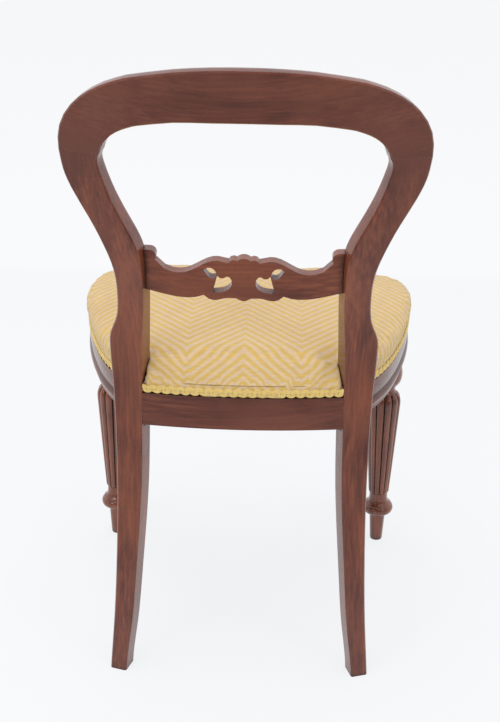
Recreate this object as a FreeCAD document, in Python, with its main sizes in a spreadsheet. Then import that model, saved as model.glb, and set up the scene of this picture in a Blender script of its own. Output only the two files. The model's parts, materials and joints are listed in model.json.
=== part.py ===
# Balloon back dining chair with an upholstered seat, in millimetres.
# The sitter faces -Y, +X is the sitter's left hand and +Z is up. The floor is z = 0.
import FreeCAD, Part
import Sketcher
import math
import os
import re

Vector = FreeCAD.Vector
doc = FreeCAD.newDocument("balloon_back_chair")
sizes = doc.addObject("Spreadsheet::Sheet", "Sizes")

# Driving dimensions: name, value, what it is. Lengths in millimetres, angles in degrees.
SIZES = [
    ("seat_line", 430.0, "height where the sabre leg turns into the raked back"),
    ("back_rise", 441.5, "from the seat line to the top of the crest"),
    ("back_plane", 139.0, "rear face of the posts at the seat line and the reference half width"),
    ("back_ref", 150.0, "half width at which the rear face is measured"),
    ("cant", 18.0, "turn of the posts' rear faces towards the centre"),
    ("hoop_half_chord", 175.0, "half width over which the crest follows one plan arc"),
    ("foot_splay", 8.5, "slope of the lower part of the rear legs"),
    ("sabre_radius", 1620.0, "side profile radius of the rear legs"),
    ("back_lean", 13.84, "slope of the back above the bend"),
    ("back_radius", 648.0, "side profile radius of the posts above the seat"),
    ("post_round", 2.0, "eased arris of the posts"),
    ("fan_half_width", 125.0, "half width of the point about which each shoulder turns"),
    ("crest_round", 2.0, "rear arris of the crest"),
    ("crest_roll", 11.0, "rounding of the crest's upper front edge"),
    ("crest_inner_roll", 5.0, "rounding of the crest's lower front edge"),
    ("crest_crown_depth", 20.0, "front to back at the middle of the crest"),
    ("splat_base", 562.0, "lowest point of the splat"),
    ("splat_lean", 6.9, "slope of the splat"),
    ("splat_depth", 14.0, "front to back of the splat"),
    ("splat_recess", 8.0, "rear face of the splat in front of the posts' rear faces"),
    ("splat_tenon_long", 12.0, "splat tenon beyond the post's inner face"),
    ("splat_tenon_thick", 8.0, "thickness of the splat tenon"),
    ("splat_tenon_tall", 44.0, "height of the splat tenon"),
    ("rail_bottom", 373.0, "underside of the seat rails"),
    ("rail_top", 431.0, "top of the seat rails"),
    ("show_top", 419.5, "top of the polished face, where the upholstery starts"),
    ("rail_thick", 24.0, "thickness of the side and front rails"),
    ("rebate_deep", 6.4, "depth of the upholstery rebate"),
    ("rear_rail_sag", 10.0, "bow of the rear rail"),
    ("rear_rail_inset", 1.8, "rear rail in front of the posts' rear faces"),
    ("rear_rail_thick", 30.0, "rear rail at its middle"),
    ("seat_half", 243.5, "half width of the seat rails at the front"),
    ("leg_y", 201.5, "front leg axes in front of the origin"),
    ("corner_round", 28.0, "plan radius of the front corners"),
    ("front_reach", 43.0, "from the front leg axes to the middle of the front rail"),
    ("bend_x", 206.0, "half width where the side rail's curve eases"),
    ("bend_y", 24.0, "place of that point"),
    ("root_x", 164.5, "half width where the side rail meets the post"),
    ("root_y", 104.5, "place of that point"),
    ("leg_block_drop", 54.0, "front leg block below the rails"),
    ("reed_count", 12.0, "reeds round a front leg"),
    ("reed_share", 0.13, "depth of the reed grooves as a share of the radius"),
    ("dowel", 10.0, "dowel diameter"),
    ("dowel_long", 38.0, "dowel length"),
    ("fit_gap", 0.1, "clearance between a dowel or tenon and its hole"),
    ("web_wide", 50.0, "width of the webbing"),
    ("web_thick", 1.6, "thickness of the webbing"),
    ("cloth_thick", 1.4, "thickness of the seat cover"),
    ("hessian_thick", 0.8, "thickness of the hessian and of the dust cover"),
    ("gimp_thick", 1.9, "thickness of the gimp"),
    ("gimp_tall", 13.0, "height of the gimp"),
    ("crown", 467.0, "highest point of the upholstery"),
    ("block_tall", 24.0, "height of the glued corner blocks"),
]

# Rear post stations: name, share of the leg or of the back's rise, outer half width,
# width of the face, front to back, rounding of the front arrises.
LEG = [
    ("toe", -0.02, 183.4, 23.2, 27.0, 2.2),
    ("ankle", 0.16, 178.0, 25.6, 27.4, 2.2),
    ("shin", 0.33, 174.2, 28.2, 28.0, 2.2),
    ("calf", 0.5, 172.0, 31.4, 28.8, 2.2),
    ("knee", 0.67, 171.2, 34.8, 29.6, 2.2),
    ("rail_foot", 0.84, 172.0, 37.0, 30.4, 2.2),
    ("seat", 1.0, 174.0, 40.0, 31.0, 2.2),
]
BACK = [
    ("hip", 0.115, 176.6, 43.4, 31.0, 2.6),
    ("hip_top", 0.163, 175.0, 43.0, 30.5, 3.0),
    ("notch", 0.206, 167.8, 36.8, 30.0, 3.4),
    ("waist", 0.285, 163.4, 34.4, 28.5, 4.0),
    ("splat_seat", 0.376, 166.3, 36.8, 27.0, 4.6),
    ("flare", 0.453, 177.2, 43.4, 25.5, 5.2),
    ("forearm", 0.530, 192.2, 43.4, 25.0, 5.8),
    ("arm", 0.611, 210.6, 45.6, 24.5, 6.4),
    ("shoulder", 0.684, 222.8, 47.4, 24.0, 7.0),
    ("joint", 0.743, 226.4, 51.8, 24.0, 7.4),
]
# Crest stations fan out from the shoulder point: angle from level, outer radius, inner radius,
# front to back, rounding of the upper front edge.
FAN = [
    (15, 102.8, 46.6, 23.6, 8.0),
    (30, 101.8, 43.4, 23.2, 9.0),
    (45, 99.4, 40.6, 22.6, 10.0),
    (60, 97.6, 38.8, 22.0, 10.6),
    (75, 97.8, 38.6, 21.4, 11.0),
    (90, 101.2, 40.2, 20.8, 11.0),
]
# Upright crest stations: half width, outer height below the top, height of the section.
CROWN = [
    (84.0, 4.8, 61.8),
    (42.0, 1.0, 64.2),
    (0.0, 0.0, 64.6),
]

# Sizes that follow from the driving ones.
WORKED_OUT = {
    "hoop_radius": "hoop_half_chord / sin(cant)",
    "joint_height": "seat_line + back_rise * joint_share",
    "crest_top": "seat_line + back_rise",
    "leg_x": "seat_half - corner_round",
    "side_bow": "((seat_half - bend_x)^2 + (leg_y + bend_y)^2) / (2 * (seat_half - bend_x))",
    "bend_angle": "2 * atan2(seat_half - bend_x; leg_y + bend_y)",
    "root_chord_angle": "atan2(bend_x - root_x; root_y - bend_y)",
    "root_chord": "sqrt((bend_x - root_x)^2 + (root_y - bend_y)^2)",
    "root_bow": "root_chord / 2 / sin(root_chord_angle - bend_angle)",
    "root_angle": "2 * root_chord_angle - bend_angle",
    "front_bow": "(front_reach^2 + leg_x^2 - corner_round^2) / (2 * (front_reach - corner_round))",
    "front_end_angle": "asin(leg_x / (front_bow - corner_round))",
    "seat_middle": "(leg_y + front_reach - rear_rail_y - rear_rail_sag) / 2",
    "block_half": "corner_round - 1",
    "web_base": "rail_top",
    "hessian_base": "rail_top + 2 * web_thick",
    "pad_base": "hessian_base + hessian_thick",
    "rear_rail_y": "back_plane + (back_ref - 134) * tan(cant) - rear_rail_inset",
    "rear_rail_bow": "(134^2 + rear_rail_sag^2) / (2 * rear_rail_sag)",
    "rear_rail_front": "rear_rail_y + rear_rail_sag - rear_rail_thick",
}

ALIASES = set()


def fill_sheet():
    """Writes the driving dimensions to the sheet, one row each."""
    rows = list(SIZES)
    for name, share, outer, face, depth, ease in LEG + BACK:
        rows.append((name + "_share", share, "height of the " + name + " station, as a share"))
        rows.append((name + "_outer", outer, "outer half width there"))
        rows.append((name + "_face", face, "width of the face there"))
        rows.append((name + "_depth", depth, "front to back there"))
        rows.append((name + "_ease", ease, "rounding of the front arrises there"))
    for angle, outer, inner, depth, roll in FAN:
        rows.append((f"fan_outer_{angle}_deg", outer, "crest outline, from the shoulder point"))
        rows.append((f"fan_inner_{angle}_deg", inner, "crest opening, from the shoulder point"))
        rows.append((f"fan_depth_{angle}_deg", depth, "front to back there"))
        rows.append((f"fan_roll_{angle}_deg", roll, "rounding of the outer front edge there"))
    for k, (name, number, note) in enumerate(rows, start=1):
        sizes.set(f"A{k}", name)
        sizes.set(f"B{k}", str(number))
        sizes.set(f"C{k}", note)
        sizes.setAlias(f"B{k}", name)
        ALIASES.add(name)
    doc.recompute()


def spelled(text):
    """Replaces the worked-out names in a formula by their own formulas."""
    text = str(text)
    found = True
    while found:
        found = False
        for name, formula in WORKED_OUT.items():
            swapped = re.sub(rf"\b{name}\b", f"({formula})", text)
            if swapped != text:
                text = swapped
                found = True
    return text


def tied(text):
    """A formula that any object of the document can be bound to."""
    return re.sub(r"\b[a-z]\w*\b", lambda m: "Sizes." + m[0] if m[0] in ALIASES else m[0], spelled(text))


def value(text):
    """What a formula comes to."""
    got = sizes.evalExpression(spelled(text))
    return float(getattr(got, "Value", got))


def place_point(sketch, geo, pos, corner, name):
    """Ties one point of a sketch to its two formulas."""
    for axis, kind, text in ((-2, "DistanceX", corner[0]), (-1, "DistanceY", corner[1])):
        number = value(text)
        if abs(number) < 1e-9:
            sketch.addConstraint(Sketcher.Constraint("PointOnObject", geo, pos, axis))
            continue
        row = sketch.addConstraint(Sketcher.Constraint(kind, -1, 1, geo, pos, number))
        label = f"{name}_{kind[-1].lower()}"
        sketch.renameConstraint(row, label)
        sketch.setExpression("Constraints." + label, tied(text))


def arc_between(start, end, radius, turn):
    """The shorter arc from start to end that turns left or right."""
    chord = end - start
    half = chord.Length / 2
    left = Vector(-chord.y, chord.x, 0) / chord.Length
    sense = 1 if turn == "left" else -1
    rise = radius - math.sqrt(max(radius * radius - half * half, 0.0))
    return Part.Arc(start, (start + end) / 2 - left * (sense * rise), end)


def stepped(corners, sides):
    """Replaces each side that names a number of steps by that many straight lines."""
    new_corners, new_sides = [], []
    for k, side in enumerate(sides):
        new_corners.append(corners[k])
        if side == "line" or len(side) < 3:
            new_sides.append(side)
            continue
        start, end = (Vector(value(x), value(y), 0) for x, y in (corners[k], corners[(k + 1) % len(corners)]))
        if side[0] == "spline":
            curve = Part.BSplineCurve()
            poles = [start] + [Vector(value(x), value(y), 0) for x, y in side[1]] + [end]
            degree = min(3, len(poles) - 1)
            inner = len(poles) - degree - 1
            curve.buildFromPolesMultsKnots(
                poles, [degree + 1] + [1] * inner + [degree + 1], list(range(inner + 2)), False, degree
            )
        else:
            curve = arc_between(start, end, value(side[1]), side[0])
        edge = curve.toShape()
        first, last = edge.FirstParameter, edge.LastParameter
        if (edge.valueAt(first) - start).Length > 1e-6:
            first, last = last, first
        for i in range(1, side[2]):
            spot = edge.valueAt(first + (last - first) * i / side[2])
            new_corners.append((spot.x, spot.y))
        new_sides += ["line"] * side[2]
    return new_corners + list(corners[len(sides):]), new_sides


def outline(name, corners, sides, placement=None, closed=True):
    """A sketch whose corners are pairs of formulas, joined by lines, arcs and splines.

    A side is "line", ("left" or "right", radius) or ("spline", [guide points]). With a third
    entry, the curve is followed by that many straight lines.
    """
    corners, sides = stepped(corners, sides)
    sketch = doc.addObject("Sketcher::SketchObject", name)
    points = [Vector(value(x), value(y), 0) for x, y in corners]
    ends = []
    for k, side in enumerate(sides):
        start = points[k]
        end = points[(k + 1) % len(points)]
        if side == "line":
            geo = sketch.addGeometry(Part.LineSegment(start, end), False)
        elif side[0] == "spline":
            poles = [start] + [Vector(value(x), value(y), 0) for x, y in side[1]] + [end]
            degree = min(3, len(poles) - 1)
            inner = len(poles) - degree - 1
            curve = Part.BSplineCurve()
            curve.buildFromPolesMultsKnots(
                poles, [degree + 1] + [1] * inner + [degree + 1], list(range(inner + 2)), False, degree
            )
            geo = sketch.addGeometry(curve, False)
            sketch.exposeInternalGeometry(geo)
            for i, guide in enumerate(side[1], start=1):
                place_point(sketch, geo + 1 + i, 3, guide, f"guide{k}_{i}")
        else:
            geo = sketch.addGeometry(arc_between(start, end, value(side[1]), side[0]), False)
        first = 1 if (sketch.getPoint(geo, 1) - start).Length < 1e-6 else 2
        ends.append((geo, first, 3 - first))
    for k, (geo, first, last) in enumerate(ends):
        if k + 1 < len(ends) or closed:
            after = ends[(k + 1) % len(ends)]
            sketch.addConstraint(Sketcher.Constraint("Coincident", geo, last, after[0], after[1]))
        place_point(sketch, geo, first, corners[k], f"corner{k}")
        if sides[k] != "line" and sides[k][0] != "spline":
            row = sketch.addConstraint(Sketcher.Constraint("Radius", geo, value(sides[k][1])))
            sketch.renameConstraint(row, f"radius{k}")
            sketch.setExpression(f"Constraints.radius{k}", tied(sides[k][1]))
    if not closed:
        place_point(sketch, ends[-1][0], ends[-1][2], corners[-1], "finish")
    if placement:
        sketch.Placement = placement
    return sketch


def frame_at(origin, across, up):
    """A placement whose x runs across and whose y runs up as nearly as it can."""
    across = Vector(across).normalize()
    normal = across.cross(up).normalize()
    upward = normal.cross(across)
    matrix = FreeCAD.Matrix(
        across.x, upward.x, normal.x, origin.x,
        across.y, upward.y, normal.y, origin.y,
        across.z, upward.z, normal.z, origin.z,
        0, 0, 0, 1,
    )
    return FreeCAD.Placement(matrix)


def extruded(name, sketch, direction, length, both_ways=False):
    """A solid extrusion of a sketch along a direction."""
    solid = doc.addObject("Part::Extrusion", name)
    solid.Base = sketch
    solid.DirMode = "Custom"
    solid.Dir = Vector(direction).normalize()
    solid.setExpression("LengthFwd", tied(length))
    solid.Solid = True
    solid.Symmetric = both_ways
    return solid


def lofted(name, sections, ruled=False):
    """A solid loft through sketches."""
    solid = doc.addObject("Part::Loft", name)
    solid.Sections = sections
    solid.Solid = True
    solid.Ruled = ruled
    solid.Closed = False
    return solid


def joined(name, members):
    solid = doc.addObject("Part::MultiFuse", name)
    solid.Shapes = members
    return solid


def cut(name, base, tools):
    """The base less one tool, or less several."""
    tool = tools[0] if len(tools) == 1 else joined(name + "_tools", tools)
    solid = doc.addObject("Part::Cut", name)
    solid.Base = base
    solid.Tool = tool
    return solid


def shared(name, first, second):
    solid = doc.addObject("Part::Common", name)
    solid.Base = first
    solid.Tool = second
    return solid


def box(name, low, high):
    """A box between two corners, each a triple of formulas."""
    solid = doc.addObject("Part::Box", name)
    for side, a, b in zip(("Length", "Width", "Height"), low, high):
        solid.setExpression(side, tied(f"({b}) - ({a})"))
    for axis, a in zip("xyz", low):
        solid.setExpression("Placement.Base." + axis, tied(a))
    return solid


def rod(name, radius, length, start, direction):
    """A dowel of eight flutes from a point along a direction."""
    solid = doc.addObject("Part::Prism", name)
    solid.Polygon = 8
    solid.setExpression("Circumradius", tied(radius))
    solid.setExpression("Height", tied(length))
    solid.Placement = FreeCAD.Placement(start, FreeCAD.Rotation(Vector(0, 0, 1), Vector(direction)))
    return solid


def mirrored(name, source):
    solid = doc.addObject("Part::Mirroring", name)
    solid.Source = source
    solid.Normal = Vector(1, 0, 0)
    return solid


def named(solid, label):
    """Marks an object as one of the chair's own pieces."""
    solid.Label = label
    PIECES[label] = solid
    return solid


PIECES = {}


def rear_line(height):
    """How far the posts' rear face lies behind the seat line's, and its slope, at a height."""
    drop = height - value("seat_line")
    radius = value("sabre_radius") if drop < 0 else value("back_radius")
    most = math.radians(value("foot_splay") if drop < 0 else value("back_lean"))
    sense = -1 if drop < 0 else 1
    bend = radius * math.sin(most)
    if abs(drop) < bend:
        turn = math.asin(abs(drop) / radius)
        return radius * (1 - math.cos(turn)), sense * math.tan(turn)
    beyond = abs(drop) - bend
    return radius * (1 - math.cos(most)) + beyond * math.tan(most), sense * math.tan(most)


def rear_face(across, height):
    """The point of the back's rear surface at a half width and height, and its normal there."""
    cant = math.radians(value("cant"))
    radius = value("hoop_radius")
    chord = value("hoop_half_chord")
    behind, slope = rear_line(height)
    y = value("back_plane") + behind + math.tan(cant) * (value("back_ref") - max(abs(across), chord))
    turn = cant
    if abs(across) < chord:
        turn = math.asin(abs(across) / radius)
        y += radius * (math.cos(turn) - math.cos(cant))
    side = math.copysign(1.0, across)
    normal = Vector(side * math.sin(turn), math.cos(turn), -math.cos(turn) * slope).normalize()
    return Vector(across, y, height), normal


def quarter(centre_x, centre_y, ease, start, steps):
    """The corners of a rounded arris: a quarter turn about a centre, from a start angle."""
    points = []
    for k in range(steps + 1):
        turn = math.radians(start + 90 * k / steps)
        points.append((f"{centre_x} + ({ease}) * {math.cos(turn):.5f}",
                       f"{centre_y} + ({ease}) * {math.sin(turn):.5f}"))
    return points


def eased_section(name, width, depth, rear, inner_front, outer_front, steps, placement):
    """A rectangle with four eased corners: x runs from the inner edge out, y from the rear forward."""
    corners = quarter(f"({width}) - {rear}", rear, rear, -90, 1)
    corners += quarter(f"({width}) - {outer_front}", f"{depth} - {outer_front}", outer_front, 0, steps)
    corners += quarter(inner_front, f"{depth} - {inner_front}", inner_front, 90, 2)
    corners += quarter(rear, rear, rear, 180, 1)
    return outline(name, corners, ["line"] * len(corners), placement)


def section_placement(outer, inner, normal):
    """Stands a section on the rear surface between an inner and an outer point."""
    return frame_at(inner, outer - inner, -normal)


def post_section(name, height):
    """The section of the left rear post at one station."""
    outer_x = value(name + "_outer")
    inner_x = outer_x - value(name + "_face")
    outer, normal = rear_face(outer_x, height)
    cant = math.radians(value("cant"))
    inner = outer + Vector(inner_x - outer_x, (outer_x - inner_x) * math.tan(cant), 0)
    if name == "joint":
        return crest_section("joint_section", outer_x, height, inner_x, height, "joint_depth", "joint_ease",
                             "joint_ease", steps=3)
    return eased_section(
        name + "_section", f"{name}_face / cos(cant)", name + "_depth", "post_round",
        name + "_ease", name + "_ease", 3, section_placement(outer, inner, normal)
    )


def crest_section(name, outer_x, outer_z, inner_x, inner_z, depth, inner_ease, outer_ease, steps=4):
    """A section of the crest between two points of the back's outline."""
    outer, outer_normal = rear_face(outer_x, outer_z)
    inner, inner_normal = rear_face(inner_x, inner_z)
    width = (outer - inner).Length
    return eased_section(
        name, f"{width:.6f}", str(depth), "crest_round", str(inner_ease), str(outer_ease), steps,
        section_placement(outer, inner, outer_normal + inner_normal)
    )


def build_rear_posts():
    """The left post as it leaves the bandsaw, before its mortises."""
    sections = [post_section(row[0], value(f"seat_line * {row[0]}_share")) for row in LEG]
    sections += [post_section(row[0], value(f"seat_line + back_rise * {row[0]}_share")) for row in BACK]
    long_post = lofted("post_loft", sections)
    floor = box("post_floor", ("0", "0", "-60"), ("400", "400", "0"))
    blank = cut("post_blank_left", long_post, [floor])
    return blank, mirrored("post_blank_right", blank)


def between(rows, share):
    """A smooth value at a share of the way through evenly spaced rows of numbers."""
    last = len(rows) - 1
    spot = min(max(share * last, 0), last)
    k = min(int(spot), last - 1)
    t = spot - k
    before, start, end, after = (rows[min(max(i, 0), last)] for i in (k - 1, k, k + 1, k + 2))
    mixed = []
    for p0, p1, p2, p3 in zip(before, start, end, after):
        mixed.append(p1 + 0.5 * t * (p2 - p0 + t * (2 * p0 - 5 * p1 + 4 * p2 - p3
                                                    + t * (3 * (p1 - p2) + p3 - p0))))
    return mixed


def build_crest():
    """The crest rail, lofted from joint to joint."""
    pivot_x = value("fan_half_width")
    pivot_z = value("joint_height")
    wide = value("joint_outer") - pivot_x
    fan = [[wide, wide - value("joint_face"), value("joint_depth"), value("joint_ease"), value("joint_ease")]]
    for angle in [row[0] for row in FAN]:
        fan.append([value(f"fan_outer_{angle}_deg"), value(f"fan_inner_{angle}_deg"),
                    value(f"fan_depth_{angle}_deg"), value(f"fan_roll_{angle}_deg"), value("crest_inner_roll")])
    half = []
    steps = 10
    for k in range(steps + 1):
        outer, inner, depth, roll, inner_roll = between(fan, k / steps)
        turn = math.radians(90 * k / steps)
        half.append([pivot_x + outer * math.cos(turn), pivot_z + outer * math.sin(turn),
                     pivot_x + inner * math.cos(turn), pivot_z + inner * math.sin(turn), depth, inner_roll, roll])
    middle = [half[-1]]
    for across, below, tall in CROWN:
        top = value("crest_top") - below
        middle.append([across, top, across, top - tall, value("crest_crown_depth"), value("crest_inner_roll"),
                       value("crest_roll")])
    middle += [[-row[0], row[1], -row[2]] + row[3:] for row in reversed(middle[:-1])]
    steps = 2 * len(CROWN)
    half += [between(middle, k / (2 * steps)) for k in range(1, steps + 1)]
    half[-1][0] = half[-1][2] = 0.0
    other = [[-row[0], row[1], -row[2]] + row[3:] for row in reversed(half[:-1])]
    sections = [crest_section(f"crest_section_{k}", *row) for k, row in enumerate(half + other)]
    return lofted("crest_blank", sections, ruled=True)


def symmetric(half_corners, half_sides):
    """Completes an outline whose first corner and last corner lie on the centre line."""
    corners = list(half_corners)
    sides = list(half_sides)
    for k in range(len(half_sides) - 1, -1, -1):
        side = half_sides[k]
        if side != "line" and side[0] == "spline":
            side = ("spline", [(f"-({x})", y) for x, y in reversed(side[1])]) + side[2:]
        sides.append(side)
        if k > 0:
            x, y = half_corners[k]
            corners.append((f"-({x})", y))
    return corners, sides


def build_splat(posts):
    """The pierced and scrolled back rail, with its two tenons."""
    lean = math.radians(value("splat_lean"))
    base, _ = rear_face(128.0, value("splat_base"))
    centre_y = base.y - value("splat_recess") + value("hoop_radius - sqrt(hoop_radius^2 - 128^2)")
    up = Vector(0, math.sin(lean), math.cos(lean))
    through = Vector(0, math.cos(lean), -math.sin(lean))
    place = frame_at(Vector(0, centre_y, value("splat_base")), Vector(1, 0, 0), up)
    corners = [
        (0, 60), (8.5, 56.6), (19.5, 53.4), (112.6, 50.5), (119.5, 63.5), (138, 62),
        (138, 8.6), (50.5, 6.6), (9.5, 3.8), (0, 0),
    ]
    sides = [
        ("right", 12, 3), ("right", 7.5, 3),
        ("spline", [(24, 54), (33, 57.5), (46, 54), (60, 44.5), (74, 36), (90, 35), (103, 39)], 12),
        ("right", 7.8, 5), "line", "line",
        ("spline", [(120, 7), (104, 3.6), (86, 1.2), (70, 1.0), (58, 3)], 8),
        ("spline", [(46, 1.2), (36, -1.2), (27, 3.2), (18, 4.6)], 7),
        ("spline", [(7, 3), (4, 0)], 3),
    ]
    front_view = outline("splat_outline", *symmetric(corners, sides), placement=place)
    plate = extruded("splat_plate", front_view, through, "120", both_ways=True)
    outer_radius = "hoop_radius"
    half = 138
    drop = value("hoop_radius - sqrt(hoop_radius^2 - 138^2)")
    depth = value("splat_depth / cos(splat_lean)")
    plan = outline(
        "splat_plan",
        [(half, -drop), (-half, -drop), (-half, -drop - depth), (half, -drop - depth)],
        [("left", outer_radius), "line", ("right", outer_radius), "line"],
        FreeCAD.Placement(Vector(0, centre_y, value("splat_base")) - up * 20, FreeCAD.Rotation()),
    )
    slab = extruded("splat_slab", plan, up, "120")
    body = shared("splat_body", plate, slab)
    holes = []
    for side, sign in (("left", ""), ("right", "-")):
        drop_shape = outline(
            "splat_drop_" + side,
            [(f"{sign}51", 42), (f"{sign}36.5", 31.5)],
            [("spline", [(f"{sign}47", 47), (f"{sign}36", 46), (f"{sign}33", 36)], 6),
             ("spline", [(f"{sign}40.5", 30), (f"{sign}45", 32), (f"{sign}48", 38)], 5)],
            place,
        )
        leaf = outline(
            "splat_leaf_" + side,
            [(f"{sign}33.5", 35), (f"{sign}26", 31.5), (f"{sign}15.5", 30), (f"{sign}38.7", 10.5)],
            [("spline", [(f"{sign}31", 30.5)], 2),
             ("spline", [(f"{sign}22", 36), (f"{sign}17.5", 35)], 3),
             ("spline", [(f"{sign}13.5", 22), (f"{sign}20", 13.5), (f"{sign}30", 11)], 6),
             ("spline", [(f"{sign}38.5", 18), (f"{sign}35.5", 25)], 3)],
            place,
        )
        holes.append(extruded(f"splat_drop_cut_{side}", drop_shape, through, "120", both_ways=True))
        holes.append(extruded(f"splat_leaf_cut_{side}", leaf, through, "120", both_ways=True))
    fitted = cut("splat_fitted", body, holes + list(posts))
    tenons, mortises = [], []
    for side, sign in (("left", 1), ("right", -1)):
        mid_y = base.y - value("splat_recess") - value("splat_depth") / 2 + 3.8
        for kind, gap, group in (("tenon", "0", tenons), ("mortise", "fit_gap", mortises)):
            slug = box(f"splat_{kind}_{side}", ("0", "0", "0"),
                       (f"splat_tenon_long + 14 + {gap}", f"splat_tenon_thick + 2 * {gap}",
                        f"splat_tenon_tall + 2 * {gap}"))
            for axis in "xyz":
                slug.setExpression("Placement.Base." + axis, None)
            grow = value(gap)
            turn = FreeCAD.Rotation(Vector(1, 0, 0), -math.degrees(lean))
            low_x = 116 if sign > 0 else -116 - value(f"splat_tenon_long + 14 + {gap}")
            slug.Placement = FreeCAD.Placement(
                Vector(low_x, mid_y - value("splat_tenon_thick") / 2 - grow, value("splat_base + 12") - grow),
                turn)
            group.append(slug)
    return joined("splat_whole", [fitted] + tenons), mortises


def rail_path(name, height, run_out):
    """The outer line of the side and front rails in plan, open at the back."""
    back_x = f"root_x - {run_out} * sin(root_angle)"
    back_y = f"root_y + {run_out} * cos(root_angle)"
    turn_x = "leg_x + corner_round * sin(front_end_angle)"
    turn_y = "-leg_y - corner_round * cos(front_end_angle)"
    right = [(back_x, back_y), ("root_x", "root_y"), ("bend_x", "bend_y"), ("seat_half", "-leg_y"),
             (turn_x, turn_y)]
    left = [(f"-({x})", y) for x, y in reversed(right)]
    half = ["line", ("right", "root_bow"), ("right", "side_bow"), ("right", "corner_round")]
    sides = half + [("right", "front_bow")] + list(reversed(half))
    place = FreeCAD.Placement(Vector(0, 0, value(height)), FreeCAD.Rotation())
    return outline(name, right + left, sides, place, closed=False)


def swept(name, section, path):
    """A section carried along the whole of a path."""
    solid = doc.addObject("Part::Sweep", name)
    solid.Sections = [section]
    solid.Spine = (path, [])
    solid.Solid = True
    solid.Frenet = False
    return solid


RUN_OUT = "30"


def ring_section(name, corners, sides):
    """A moulding section at the start of the rails' path: x points outward, y up."""
    turn = math.radians(value("root_angle"))
    run = float(RUN_OUT)
    start = Vector(value("root_x") - run * math.sin(turn), value("root_y") + run * math.cos(turn), 0)
    outward = Vector(math.cos(turn), math.sin(turn), 0)
    return outline(name, corners, sides, frame_at(start, outward, Vector(0, 0, 1)))


def build_moulded_ring():
    """The moulded seat rail as one length, from post to post round the front."""
    corners = [
        ("-rail_thick", "rail_bottom"), ("-4.2", "rail_bottom"), ("-2.6", "rail_bottom + 1.6"),
        ("-2.6", "rail_bottom + 8"), ("-0.2", "rail_bottom + 9.7"), ("0.74", "rail_bottom + 12.5"),
        ("-0.2", "rail_bottom + 15.3"), ("-2.6", "rail_bottom + 17"), ("-4.6", "rail_bottom + 18.6"),
        ("-4.6", "rail_bottom + 21.4"), ("-1.6", "rail_bottom + 23.4"), ("-0.3", "rail_bottom + 33"),
        ("-1.0", "show_top"), ("-rebate_deep", "show_top"), ("-rebate_deep", "rail_top"),
        ("-rail_thick", "rail_top"),
    ]
    sides = ["line"] * len(corners)
    section = ring_section("rail_section", corners, sides)
    return swept("moulded_ring", section, rail_path("rail_line", "rail_bottom", RUN_OUT))


def behind_posts(name, gap, inward):
    """A block behind the left post's front face, from some way inside its outer corner outwards."""
    cant = math.radians(value("cant"))
    outer, _ = rear_face(value("seat_outer"), value("seat_line"))
    along = Vector(math.cos(cant), -math.sin(cant), 0)
    corner = outer - Vector(math.sin(cant), math.cos(cant), 0) * value(f"seat_depth + ({gap})")
    solid = doc.addObject("Part::Box", name)
    solid.setExpression("Length", tied(f"({inward}) + 100"))
    solid.Width = 120
    solid.Height = 260
    start = corner - along * value(inward) - Vector(0, 0, 130)
    solid.Placement = FreeCAD.Placement(start, FreeCAD.Rotation(Vector(0, 0, 1), -value("cant")))
    return solid


def build_rails(posts):
    """The side, front and rear seat rails, fitted to the posts, and the corner lengths."""
    ring = build_moulded_ring()
    far = 400
    low = "rail_bottom - 20"
    high = "rail_top + 20"
    rails = {}
    zone = box("side_zone", ("100", "-leg_y + block_half", low), (far, "300", high))
    back = behind_posts("behind_left", "-1.5", "160")
    length = shared("side_length", ring, zone)
    rails["side_left"] = cut("side_fitted_left", length, [back, posts[0]])
    rails["side_right"] = mirrored("side_fitted_right", rails["side_left"])
    zone = box("front_zone", ("-leg_x + block_half", "-300", low), ("leg_x - block_half", "0", high))
    rails["front"] = shared("front_length", ring, zone)
    zone = box("corner_zone", ("leg_x - block_half", "-300", low), (far, "-leg_y + block_half", high))
    corner = shared("corner_length", ring, zone)
    bow = "rear_rail_bow"
    half = "140"
    drop = f"({bow} - sqrt({bow}^2 - {half}^2))"
    plan = []
    for name, inset, floor, height in (("face", "0", "rail_bottom", "show_top - rail_bottom"),
                                       ("tongue", "rebate_deep", "show_top", "rail_top - show_top")):
        edge = f"rear_rail_y + rear_rail_sag - {drop} - ({inset})"
        sketch = outline(
            f"rear_rail_{name}_plan",
            [(half, edge), (f"-{half}", edge), (f"-{half}", "rear_rail_front"), (half, "rear_rail_front")],
            [("left", bow), "line", "line", "line"],
            FreeCAD.Placement(Vector(0, 0, value(floor)), FreeCAD.Rotation()),
        )
        plan.append(extruded(f"rear_rail_{name}", sketch, Vector(0, 0, 1), height))
    rails["rear"] = cut("rear_rail_fitted", joined("rear_rail_blank", plan), list(posts))
    return rails, corner


TURNED_SIDES = 18


def turned_part(name, profile):
    """A turning from its radii and heights, with a ring of many sides at each."""
    rings = []
    for k, (radius, height) in enumerate(profile):
        ring = doc.addObject("Part::RegularPolygon", f"{name}_ring_{k}")
        ring.Polygon = TURNED_SIDES
        ring.Circumradius = radius
        ring.Placement = FreeCAD.Placement(Vector(0, 0, height), FreeCAD.Rotation())
        rings.append(ring)
    return lofted(name, rings, ruled=True)


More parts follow.
